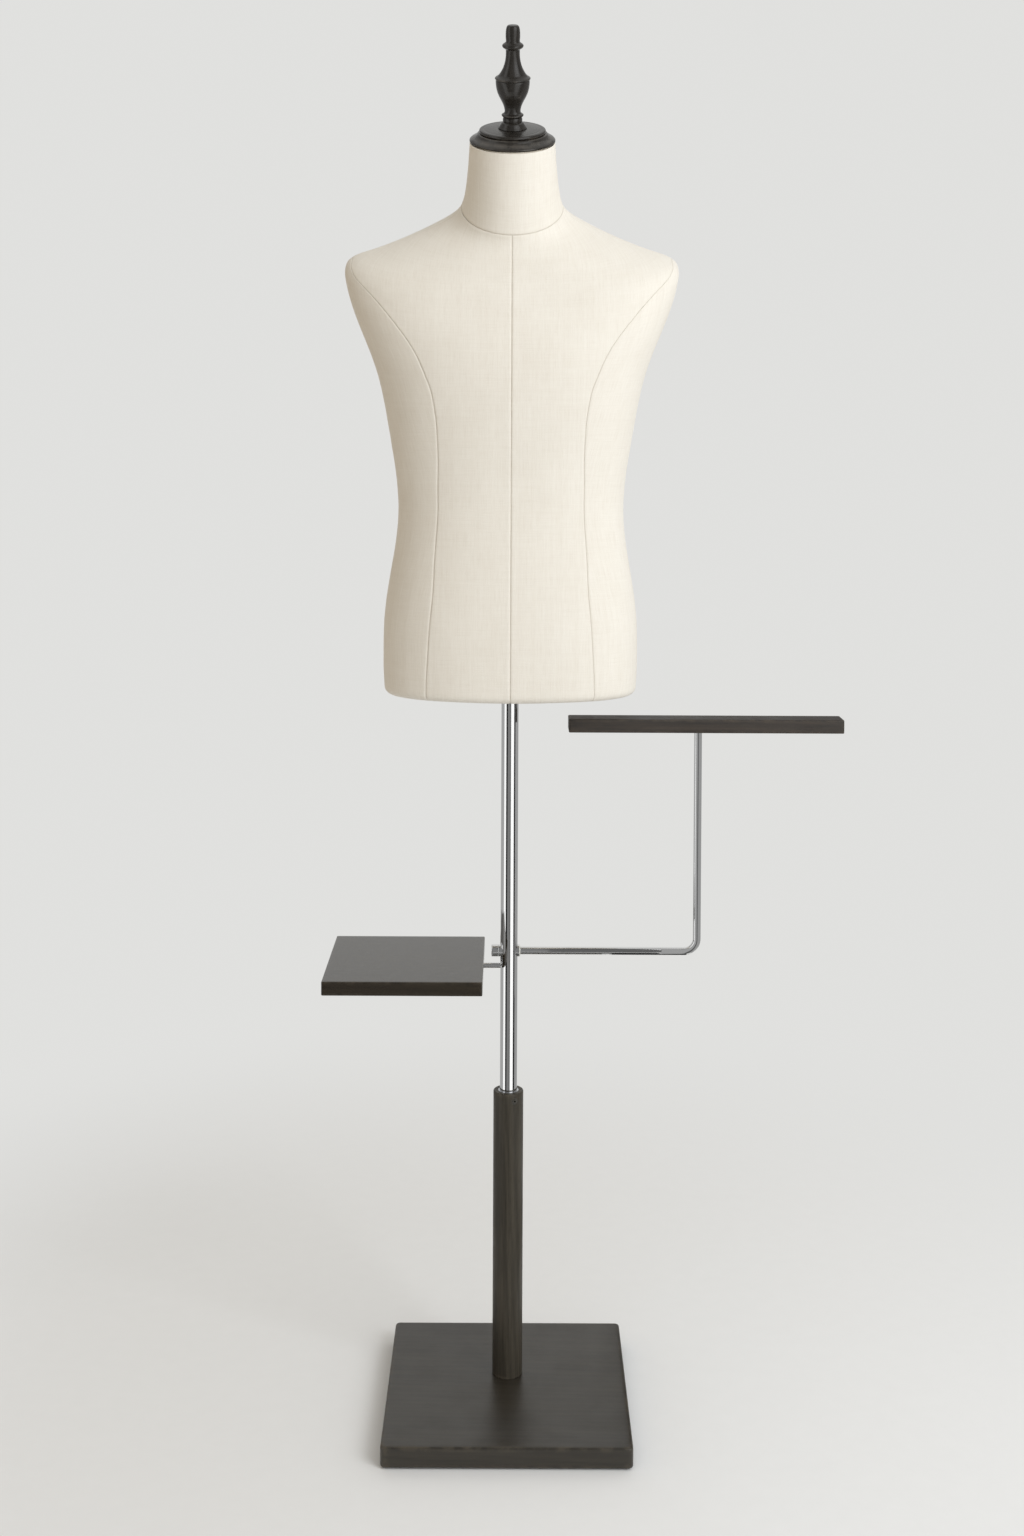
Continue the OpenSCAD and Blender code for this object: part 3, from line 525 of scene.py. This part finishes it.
def torso_rows():
    """The torso's levels, evenly along its side outline 1 mm apart, with the shape's small bumps eased."""
    z = np.arange(HEM, TOP + 0.01, 0.25)
    cols = [z] + [pchip(LEVELS[:, 0], LEVELS[:, c], z) for c in range(1, 7)]
    v = np.stack(cols, 1)
    s = np.concatenate([[0], np.cumsum(np.hypot(np.diff(v[:, 0]), np.diff(v[:, 1])))])
    even = np.arange(0, s[-1], 1.0)
    v = np.stack([np.interp(even, s, v[:, c]) for c in range(7)], 1)
    wide, tight = smooth(v, 11.0), smooth(v, 2.5)
    z = v[:, 0]
    near = np.clip(1.4 - np.abs(z - SHOULDER) / 24, 0, 1) + np.clip(1.3 - (z - HEM) / 26, 0, 1)
    near = near + np.clip(1 - (TOP - z) / 12, 0, 1) + 0.6 * np.clip(1 - np.abs(z - NECKLINE) / 20, 0, 1)
    near = np.clip(near, 0, 1)[:, None]
    return wide * (1 - near) + tight * near


ROWS = torso_rows()
ROW_S = np.arange(len(ROWS), dtype=float)


def level_at(s):
    return np.array([np.interp(s, ROW_S, ROWS[:, c]) for c in range(7)])


def s_of(z):
    return float(np.interp(z, ROWS[:, 0], ROW_S))


def turned_out(s, where):
    """Outward normal of the outline as (outward, up), at the side (1), front (2) or back (3)."""
    a, b = level_at(max(s - 1.5, 0)), level_at(min(s + 1.5, ROW_S[-1]))
    lift = 0 if where == 1 else (a[5] - b[5] if where == 2 else b[6] - a[6])
    dw, dz = b[where] - a[where], b[0] - a[0] + lift
    n = math.hypot(dw, dz)
    return dz / n, -dw / n


def ring(s, ang, t=0.0):
    """Points of the surface at level s and these angles in degrees (90 is the front), t mm outside it."""
    r = level_at(s)
    a = np.radians(ang)
    ca, sa = np.cos(a), np.sin(a)
    front = sa > 0
    side, fr, bk = turned_out(s, 1), turned_out(s, 2), turned_out(s, 3)
    e = 2 / r[4]
    out = np.where(front, fr[0], bk[0])
    up = t * (side[1] * ca ** 2 + np.where(front, fr[1], bk[1]) * sa ** 2)
    depth = (r[2] + r[3]) / 2
    x = (r[1] + t * side[0]) * np.sign(ca) * np.abs(ca) ** e
    y = (r[3] - r[2]) / 2 - (depth + t * out) * np.sign(sa) * np.abs(sa) ** e
    z = r[0] + up - np.where(front, r[5], r[6]) * sa
    return np.stack([x, y, z], 1)


# the seams again, as a share of the half width, out to the shoulder's edge
SEAM_Z = np.append(SIDE_SEAM[:, 0], TIP)
SEAM_SHARE = np.append(SIDE_SEAM[:, 1] / np.interp(SIDE_SEAM[:, 0], LEVELS[:, 0], LEVELS[:, 1]), 1.0)


def seam_angle(s):
    """Angle of the front's side seam at level s; the back's is its mirror."""
    r = level_at(s)
    if r[0] >= TIP - 1e-6:
        return 0.0
    share = float(pchip(SEAM_Z, SEAM_SHARE, np.array([max(r[0], HEM)]))[0])
    return math.degrees(math.acos(min(share, 1.0) ** (r[4] / 2)))


# distances from a seam of the rows of points beside it
EDGE = np.array([0, 0.45, 0.9, 1.5, 2.4, 4.0])


def spread(a0, a1, s, n):
    """Angles across a panel: close together by its two seams, even between them."""
    if abs(a1 - a0) < 1e-6:
        return np.full(n + 12, a0), np.zeros(n + 12)
    fine = a0 + (a1 - a0) * np.linspace(0, 1, 241)
    p = ring(s, fine)
    run = np.concatenate([[0], np.cumsum(np.linalg.norm(np.diff(p, axis=0), axis=1))])
    w = run[-1]
    e = EDGE * min(1.0, w / 14.0)
    mid = np.linspace(e[-1], w - e[-1], n + 2)[1:-1]
    d = np.concatenate([e, mid, w - e[::-1]])
    return np.interp(d, run, fine), d


def row_places(z0, z1, seams=()):
    """Level numbers from height z0 to z1: about 6 mm apart, closer where the outline turns or by a seam."""
    s0, s1 = s_of(z0), s_of(z1)
    grid = np.arange(s0, s1, 0.5)
    z = np.interp(grid, ROW_S, ROWS[:, 0])
    dens = np.full(len(grid), 1 / 6.0)
    dens += 0.5 * np.clip(1 - (z - HEM) / 16, 0, 1) + 0.28 * np.clip(1 - np.abs(z - SHOULDER - 3) / 18, 0, 1)
    total = np.concatenate([[0], np.cumsum(dens * 0.5)])[:-1]
    n = int(total[-1]) + 1
    places = list(np.interp(np.linspace(0, total[-1], n), total, grid)) + [s1]
    for at, sides in seams:
        c = s_of(at)
        places = [p for p in places if abs(p - c) > 5.5]
        for e in EDGE:
            places += [c + e] if sides > 0 else [c - e]
    return np.array(sorted(set(round(float(p), 4) for p in places)))


def ripple(p):
    """The padding's slight unevenness under the cloth, mm."""
    return 0.55 * noise.noise(Vector(p) * 0.017) + 0.16 * noise.noise(Vector(p) * 0.055 + Vector((9, 4, 2)))


def turned_hem(edge, uv, dist):
    """Rows under the hem's edge, from the innermost out, with their cloth places and seam distances."""
    middle = np.array([0, (LEVELS[0, 3] - LEVELS[0, 2]) / 2, 0])
    half_w, half_d = LEVELS[0, 1], (LEVELS[0, 2] + LEVELS[0, 3]) / 2
    rows, uvs, dists = [], [], []
    for k, z in ((13, HEM + 3.4), (9.5, HEM + 1.9), (6, HEM + 0.7), (3, HEM + 0.05)):
        q = (edge - middle) * np.array([1 - k / half_w, 1 - k / half_d, 1]) + middle
        q[:, 2] = z
        rows.append(q)
        uvs.append(np.stack([uv[:, 0], np.full(len(q), -k)], 1))
        dists.append(dist)
    return np.array(rows), np.array(uvs), np.array(dists)


def grid_faces(v, flip):
    """Faces of a grid of points; where a row has shrunk to a point they are triangles or left out."""
    r, c = v.shape[:2]
    faces = []
    for i in range(r - 1):
        for k in range(c - 1):
            keep = [i * c + k, i * c + k + 1, (i + 1) * c + k + 1, (i + 1) * c + k]
            if np.linalg.norm(v[i, k] - v[i, k + 1]) < 1e-4:
                continue
            if np.linalg.norm(v[i + 1, k + 1] - v[i + 1, k]) < 1e-4:
                keep = keep[:3]
            faces.append(keep if flip else keep[::-1])
    return faces


def panel(name, z0, z1, edges, n, top_seam, bottom_seam, flip, stands_for, under=False):
    """One cut piece of the cover. edges gives its two seams' angles at a level. Near a seam the cloth
    turns in; under adds the turned-in hem."""
    seams = ([(z1, -1)] if top_seam else []) + ([(z0, 1)] if bottom_seam else [])
    grid, across = [], []
    for s in row_places(z0, z1, seams):
        a, d = spread(*edges(s), s, n)
        grid.append(np.stack([ring(s, a), ring(s, a, 1.0)], 0))
        across.append(d)
    grid, across = np.array(grid), np.array(across)
    base = grid[:, 0]
    nrm = grid[:, 1] - grid[:, 0]
    nrm /= np.maximum(np.linalg.norm(nrm, axis=2, keepdims=True), 1e-9)
    up = np.concatenate([np.zeros((1, base.shape[1])),
                         np.cumsum(np.linalg.norm(np.diff(base, axis=0), axis=2), 0)])
    width = across[:, -1:]
    dist = np.minimum(across, width - across)
    if top_seam:
        dist = np.minimum(dist, up[-1:] - up)
    if bottom_seam:
        dist = np.minimum(dist, up)
    dip = SEAM_DIP * np.exp(-(dist / 0.9) ** 2) - 0.15 * np.exp(-((dist - 3.2) / 1.8) ** 2)
    soft = np.array([[ripple(p) for p in row] for row in base])
    v = base + nrm * (soft - dip)[..., None]
    # the threads run up the centre seam of a front or back panel, and up the middle of the others
    straight = {front_edges: width, back_edges: 0 * width}.get(edges, width / 2)
    rise = np.repeat(up[:, v.shape[1] // 2][:, None], v.shape[1], 1)
    uv = np.stack([across - straight, rise], 2)
    if under:
        hem_v, hem_uv, hem_dist = turned_hem(v[0], uv[0], dist[0])
        v = np.concatenate([hem_v, v])
        uv = np.concatenate([hem_uv, uv])
        dist = np.concatenate([hem_dist, dist])
    if flip:
        v = v * np.array([-1, 1, 1])
        uv = uv * np.array([-1, 1])
    o = mesh_object(name, v.reshape(-1, 3) * MM, grid_faces(v, flip), LINEN, "torso", stands_for, 60,
                    {"seam": dist.ravel() * MM}, uv.reshape(-1, 2) * MM)
    thick = o.modifiers.new("cloth", "SOLIDIFY")
    thick.thickness, thick.offset = CLOTH * MM, -1.0


def front_edges(s):
    return seam_angle(s), 90.0


def back_edges(s):
    return -90.0, -seam_angle(s)


def side_edges(s):
    a = seam_angle(s)
    return -a, a


def neck_edges(s):
    return -90.0, 270.0


for side, flip in (("right", False), ("left", True)):
    panel(f"front_panel_{side}", HEM, NECKLINE, front_edges, 24, True, False, flip,
          (f"cover_front_{side}",), True)
    panel(f"back_panel_{side}", HEM, NECKLINE, back_edges, 24, True, False, flip,
          (f"cover_back_{side}",), True)
    panel(f"side_panel_{side}", HEM, TIP, side_edges, 26, False, False, flip,
          (f"cover_side_{side}",), True)
panel("neck_panel", NECKLINE, TOP, neck_edges, 70, False, True, False,
      ("cover_neck",))

# ---------------------------------------------------------------- CAD nodes that stay, with their materials

KEPT = {
    CHROME: ["pole_tube", "arm_saddle", "nut_saddle"],
    CHROME_X: ["tray_rod"],
    SHELL: ["torso_shell_front", "torso_shell_back"],
    PLAIN: ["bottom_board", "neck_block", "finial_dowel"],
    STEEL: ["foot_screws", "ballast_plate", "ballast_screws", "liner_flange", "flange_screws", "column_liner",
            "arm_block", "tray_sleeve", "tray_screws", "socket_flange", "socket_screws", "socket_tube",
            "cap_screws"],
    BLACK_STEEL: ["tray_grub_screw"],
    LOCK: ["height_lock_screw", "lock_insert"],
    BRASS: ["bar_insert"],
    RUBBER: ["foot_pads", "centre_pad"],
    NYLON: ["pole_foot_bush", "friction_washer"],
    BLACK_PLASTIC: ["pole_top_plug", "socket_stop"],
}
for mat, names in KEPT.items():
    for n in names:
        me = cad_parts[n].data
        me.materials.clear()
        me.materials.append(mat)

# ---------------------------------------------------------------- stand

lo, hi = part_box("base_board")
base = board("base", lo, hi, 6, 2.6, BLACK_X, "base", ("base_board",), (28.5, 7))

FIT = 0.05
lo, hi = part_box("column_sleeve")
bottom, top = lo.z / MM, hi.z / MM
liner_lo, liner_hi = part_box("column_liner")
inner = liner_hi.x / MM + FIT
bore_z = liner_lo.z / MM - 0.1
clear = bottom + 10
cut(base, plain_cutter([(0, bore_z), (inner, bore_z), (inner, clear), (0, clear)]))

r = hi.x / MM
sleeve = [(inner, bottom), (r - 0.5, bottom), (r, bottom + 0.5), (r, bottom + 5), (r, (top + bottom) / 2),
          (r, top - 6), (r, top - 1.4), (r - 0.35, top - 0.5), (r - 1.1, top), (r - 3, top),
          (inner + 0.5, top), (inner, top - 0.6), (inner, bottom)]
column = lathe("column", sleeve, BLACK_Z, "base", ("column_sleeve",),
               wear_and_highlight_at=((top - 0.6, 4.5), (bottom, 3)))

# hole of the lock screw, 25 degrees to the right of straight ahead
INSERT_R = 4.25
lock_z = sum(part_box("height_lock_screw")[k].z for k in (0, 1)) / 2
place = Matrix.Translation((0, 0, lock_z)) @ Matrix.Rotation(math.radians(25 - 90), 4, "Z")
place = place @ Matrix.Rotation(math.pi / 2, 4, "Y")
cut(column, plain_cutter([(0, 9), (INSERT_R, 9), (INSERT_R, 30), (0, 30)], place))

# ---------------------------------------------------------------- arm and bar

STUD_R, BEND, BEND_STEPS = 4, 16.0, 16
lo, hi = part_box("bar_arm")
rod_r = (hi.y - lo.y) / 2 / MM
reach = hi.x / MM - rod_r
low = lo.z / MM + rod_r
bar_lo, bar_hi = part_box("bar_board")
shoulder = bar_lo.z / MM - 0.2
# thin stud through the pole, then the full rod with its edge eased, up to the shoulder under the bar
path = [(lo.x / MM, low), (12.4, low), (12.5, low), (14, low), (14, low), (14.5, low)]
radii = [STUD_R, STUD_R, STUD_R, STUD_R, rod_r - 0.4, rod_r]
path.append((reach - BEND, low))
radii.append(rod_r)
for k in range(1, BEND_STEPS + 1):
    a = math.radians(90 * k / BEND_STEPS)
    path.append((reach - BEND + BEND * math.sin(a), low + BEND - BEND * math.cos(a)))
    radii.append(rod_r)
path += [(reach, shoulder - 0.5), (reach, shoulder), (reach, shoulder), (reach, hi.z / MM)]
radii += [rod_r, rod_r - 0.4, STUD_R, STUD_R]
rod("bent_arm", path, radii, CHROME_X, "arm", ("bar_arm",))

nut_lo, nut_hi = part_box("arm_cap_nut")
nut_r = (nut_hi.y - nut_lo.y) / 2 / MM
nut = [(0, 13.1), (nut_r - 0.4, 13.1), (nut_r, 13.5), (nut_r, 21.2), (nut_r - 0.25, 21.8),
       (nut_r - 0.9, 22.1), (3.1, 22.1), (2.7, 21.8), (2.6, 20.6), (0, 20.5)]
place = Matrix.Translation((0, 0, low * MM)) @ Matrix.Rotation(-math.pi / 2, 4, "Y")
lathe("cap_nut", rounded(nut, 0.3), CHROME, "arm_nut", ("arm_cap_nut",), 64, place)

bar = board("display_bar", bar_lo, bar_hi, 2, 1.3, BAR, "bar", ("bar_board",))
place = Matrix.Translation((reach * MM, 0, bar_lo.z))
cut(bar, plain_cutter([(0, -2), (9.1, -2), (9.1, 1.5), (7.1, 1.5), (7.1, 15.4), (0, 15.4)], place))

# ---------------------------------------------------------------- tray

SCREW_HEAD_R = 3.05
lo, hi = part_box("tray_board")
tray = board("tray", lo, hi, 2, 1.2, TRAY_WOOD, "tray", ("tray_board",))
tools = []
for from_edge in (18, 44):
    place = Matrix.Translation((hi.x - from_edge * MM, 0, lo.z))
    tools.append(plain_cutter([(0, -1), (SCREW_HEAD_R, -1), (SCREW_HEAD_R, 6.9), (0, 6.9)], place))
sleeve_lo, sleeve_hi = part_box("tray_sleeve")
sleeve_r = (sleeve_hi.y - sleeve_lo.y) / 2 / MM + FIT
place = Matrix.Translation((hi.x, 0, (lo.z + hi.z) / 2)) @ Matrix.Rotation(-math.pi / 2, 4, "Y")
tools.append(plain_cutter([(0, -2), (sleeve_r, -2), (sleeve_r, 58.2), (0, 58.2)], place))
cut(tray, *tools)

# ---------------------------------------------------------------- neck cap and finial

# the cap sits on the middle of the neck's open top and leans forward
LEAN = math.radians(24)
neck = Matrix.Translation((0, (LEVELS[-1, 3] - LEVELS[-1, 2]) / 2 * MM, LEVELS[-1, 0] * MM))
neck = neck @ Matrix.Rotation(LEAN, 4, "X")
STEP_Z, FINIAL_Z = 11.4, 17
cap = [(0, 0.1), (46, 0.1), (50.5, 0.1), (52.4, 0.4), (53.2, 1.3), (53.2, 2.3), (52.4, 3.3), (50.4, 4.6),
       (47.6, 6), (45.3, 7.7), (43.9, 9.4), (42.8, 10.7), (41.4, 11.2), (38, 11.32), (0, STEP_Z)]
# the lighter rubbed bands on the foot's and step's rims are worn finish and painted highlights
lathe("neck_cap_foot", rounded(cap, 0.9), TURNED, "torso", ("neck_cap_lower",), 128, neck, 30,
      ((1.8, 1.6), (6.0, 3.2), (10.8, 1.2)))
step = [(0, STEP_Z), (39.6, STEP_Z), (40.8, 12), (41.3, 13.1), (41.2, 14.3), (40.5, 15.3), (39, 15.8),
        (37.2, 16.0), (35.5, 15.9), (33.5, 16.2), (29, 16.5), (24, 16.8), (0, FINIAL_Z)]
lathe("neck_cap_step", rounded(step, 0.6), TURNED, "torso", ("neck_cap_upper",), 128, neck, 30,
      ((12.6, 1.4),))
TURNING = [
    (0, 0), (17.8, 0), (17.8, 0.7), (17, 1.6), (15.8, 3.2), (14.7, 5.1), (13.6, 6.6), (12.4, 7.5),
    (11.6, 7.8), (12, 8.6), (12.1, 10.2), (12, 11.6), (11.5, 13.2), (10.8, 13.8), (12.6, 14.6),
    (13.6, 15.8), (13.6, 16.6), (12.4, 17.8), (10.6, 18.6), (9.8, 20.4), (9.9, 23), (10.7, 26.6),
    (12.1, 30.4), (14.2, 34.6), (16.6, 39), (18.7, 43.8), (20.1, 49), (20.8, 54.6), (20.9, 58.6),
    (20.3, 59.4), (20.4, 60), (21.8, 60.8), (21.8, 62), (20.8, 62.8), (18.4, 64.2), (16.3, 66.4),
    (14.2, 69.6), (12, 73.8), (10.3, 78.6), (9.2, 83.4), (8.6, 88.4), (8.5, 92.6), (8.6, 96),
    (9.6, 97), (11.6, 98.2), (12.8, 99.6), (13.1, 100.8), (12.7, 102), (11.2, 103.4),
    (9.2, 104.6), (8.5, 105.4), (8.5, 107.7), (8.8, 110.8), (8.8, 116.4), (8.4, 120.4),
    (7.7, 123.2), (6.3, 125.3), (0, 125.7)]
finial = [(a, b + FINIAL_Z) for a, b in rounded(TURNING, 1.0)]
# the lighter rubbed bands on the finial's beads are worn finish and painted highlights
lathe("finial_turning", finial, TURNED, "torso", ("finial",), 112, neck, 34,
      ((33.2, 1.2), (78.5, 1.6), (117.8, 1.6), (144, 1.5)))

# ---------------------------------------------------------------- underside of the torso

def underside():
    """Linen panel across the hem, drawn over the bottom board, with a hole for the pole's socket."""
    n, hole_r = 120, 14.6
    ang = np.linspace(0, 360, n, endpoint=False)
    outer = ring(0.0, ang)
    middle = np.array([0, (LEVELS[0, 3] - LEVELS[0, 2]) / 2, 0])
    low_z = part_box("cover_underside")[0].z / MM
    verts = []
    # share of the hem's outline and height above the panel's lowest point, from the hem inwards
    for share, z in ((1 - 9 / 120, -0.1), (0.9, 0.05), (0.8, 0.05), (0.62, 0.05), (0.45, 0.05), (0.3, 0.05)):
        q = (outer - middle) * share + middle
        q[:, 2] = low_z + z
        verts += list(q)
    turn = np.radians(ang)
    verts += list(np.stack([hole_r * np.cos(turn), -hole_r * np.sin(turn), np.full(n, low_z + 0.05)], 1))
    verts = np.array(verts)
    faces = []
    for i in range(len(verts) // n - 1):
        for k in range(n):
            a, b = i * n + k, i * n + (k + 1) % n
            faces.append((a, b, b + n, a + n))
    away = np.full(len(verts), 0.03)
    o = mesh_object("underside_panel", verts * MM, faces, LINEN, "torso", ("cover_underside",), 60,
                    {"seam": away}, verts[:, :2] * MM)


underside()

# ---------------------------------------------------------------- stage, light and camera

BACK = rgb(224.5, 224.5, 222.5)
world = bpy.data.worlds.new("studio")
bpy.context.scene.world = world
world.use_nodes = True
world.node_tree.nodes["Background"].inputs["Color"].default_value = BACK
world.node_tree.nodes["Background"].inputs["Strength"].default_value = 1.0


def bare_mat(name):
    """A material with an empty node tree."""
    m = bpy.data.materials.new(name)
    m.use_nodes = True
    m.node_tree.nodes.clear()
    return m, m.node_tree


def glow_mat(name, colour):
    m, nt = bare_mat(name)
    glow = node(nt, "Emission", {"Color": (*colour, 1), "Strength": 1.0}).outputs[0]
    node(nt, "OutputMaterial", {"Surface": glow})
    return m


def stage_piece(name, verts, faces, mat):
    """Something of the studio that isn't part of the object."""
    me = bpy.data.meshes.new(name)
    me.from_pydata(verts, [], faces)
    me.materials.append(mat)
    o = bpy.data.objects.new(name, me)
    bpy.context.scene.collection.objects.link(o)
    return o


def floor_material():
    """Pale studio floor that runs out into the backdrop's tone."""
    m, nt = bare_mat("floor")
    co = node(nt, "TexCoord").outputs["Object"]
    flat = node(nt, "VectorMath", {0: co, 1: (1, 1, 0)}, operation="MULTIPLY").outputs[0]
    far = node(nt, "VectorMath", {0: flat}, operation="LENGTH").outputs["Value"]
    f = node(nt, "MapRange", {0: far, 1: 0.45, 2: 1.5, 3: 0.0, 4: 1.0},
             interpolation_type="SMOOTHSTEP").outputs[0]
    grit = fog(nt, co, 40.0, 3.0, 0.6)
    tone = mix(nt, span(nt, grit, 0.3, 0.7), (0.823, 0.821, 0.814, 1), (0.833, 0.831, 0.824, 1))
    near = node(nt, "BsdfDiffuse", {"Color": tone}).outputs[0]
    glow = node(nt, "Emission", {"Color": BACK, "Strength": 1.0}).outputs[0]
    both = node(nt, "MixShader", {0: f, 1: near, 2: glow}).outputs[0]
    node(nt, "OutputMaterial", {"Surface": both})
    return m


def disc(name, radius, mat, n=96):
    """Flat round floor in three rings."""
    rings = [0.25, 0.5, 1.0]
    verts = [(0, 0, 0)]
    for f in rings:
        for k in range(n):
            a = 2 * math.pi * k / n
            verts.append((radius * f * math.cos(a), radius * f * math.sin(a), 0))
    faces = [(0, 1 + k, 1 + (k + 1) % n) for k in range(n)]
    for i in range(len(rings) - 1):
        for k in range(n):
            a, b = 1 + i * n + k, 1 + i * n + (k + 1) % n
            faces.append((a, a + n, b + n, b))
    stage_piece(name, verts, faces, mat)


disc("floor", 12.0, floor_material())


def card(name, a0, a1, bright, far=1.0, z0=0.0, z1=2.6, x=0.0, n=10):
    """Curved upright card round the pole, or round another upright line at x, seen only in glossy
    reflections. Angles are in degrees from -Y towards +X, lengths in metres."""
    verts = []
    for k in range(n + 1):
        a = math.radians(a0 + (a1 - a0) * k / n)
        for z in (z0, z1):
            verts.append((x + far * math.sin(a), -far * math.cos(a), z))
    faces = [(2 * k, 2 * k + 2, 2 * k + 3, 2 * k + 1) for k in range(n)]
    o = stage_piece(name, verts, faces, glow_mat(name, (bright, bright, bright * 0.99)))
    o.visible_camera = o.visible_diffuse = o.visible_shadow = False


# the pale and dark bands that the chrome shows
card("card_grey_left", -150, -76, 0.42)
card("card_white_left", -77, -47, 1.15)
card("card_dark_left", -47, -27, 0.01)
card("card_grey_front", -27, 4, 0.22)
card("card_shade_front", 4, 16.5, 0.13, n=4)
card("card_white_right", 16.5, 57, 1.20)
card("card_dark_right", 57, 83, 0.02)
card("card_grey_right", 83, 150, 0.36)
# small cards close round the arm's upright, so that it shows bands of its own
ROUND_ARM = {"far": 0.05, "z0": 0.45, "z1": 0.845, "x": reach * MM}
card("card_arm_left", -60, -10, 0.38, **ROUND_ARM)
card("card_arm_front", -10, 18, 0.12, **ROUND_ARM)
card("card_arm_right", 18, 110, 0.34, **ROUND_ARM)


def flat_card(name, corners, colour, diffuse=False):
    """Flat four cornered card, unseen by the camera: either glossy surfaces see it, or the matt ones
    are lit by it."""
    o = stage_piece(name, corners, [(0, 1, 2, 3)], glow_mat(name, colour))
    o.visible_camera = o.visible_shadow = False
    o.visible_diffuse, o.visible_glossy = diffuse, not diffuse


def level_card(name, x0, x1, y0, y1, z, bright):
    flat_card(name, [(x0, y0, z), (x1, y0, z), (x1, y1, z), (x0, y1, z)], (bright, bright, bright))


level_card("card_dark_over", -0.5, 1.2, -2.0, -0.65, 3.0, 0.02)
level_card("card_dark_front", -0.15, 0.25, -0.62, -0.19, 0.1, 0.03)
level_card("card_dark_under", 0.16, 0.32, -0.19, 0.3, 0.1, 0.03)
flat_card("flag_left", [(-1.1, -1.5, 0.55), (-1.1, 1.3, 0.55), (-1.1, 1.3, 2.3), (-1.1, -1.5, 2.3)],
          (0.37, 0.28, 0.165), True)


def square_light(name, at, aim, side, power, colour):
    light = bpy.data.lights.new(name, "AREA")
    light.shape = "SQUARE"
    light.size, light.energy, light.color = side, power, colour
    o = bpy.data.objects.new(name, light)
    bpy.context.scene.collection.objects.link(o)
    o.location = at
    o.rotation_euler = (Vector(aim) - Vector(at)).to_track_quat("-Z", "Y").to_euler()


square_light("key", (2.1, -2.2, 2.3), (0, 0, 1.05), 1.8, 61, (0.935, 0.965, 1.0))

EYE, TILT_DOWN, ROLL = (0.0012, -2.265, 1.229), 1.466, 0.25
cam_data = bpy.data.cameras.new("camera")
cam_data.lens, cam_data.sensor_width, cam_data.sensor_fit = 42.13, 36.0, "AUTO"
cam_data.shift_y = -0.190
cam_data.clip_start, cam_data.clip_end = 0.05, 60
cam = bpy.data.objects.new("camera", cam_data)
bpy.context.scene.collection.objects.link(cam)
cam.matrix_world = (Matrix.Translation(EYE) @ Matrix.Rotation(math.radians(90 - TILT_DOWN), 4, "X")
                    @ Matrix.Rotation(math.radians(ROLL), 4, "Z"))
bpy.context.scene.camera = cam
bpy.context.scene.view_settings.view_transform = "Standard"
bpy.context.scene.view_settings.look = "None"
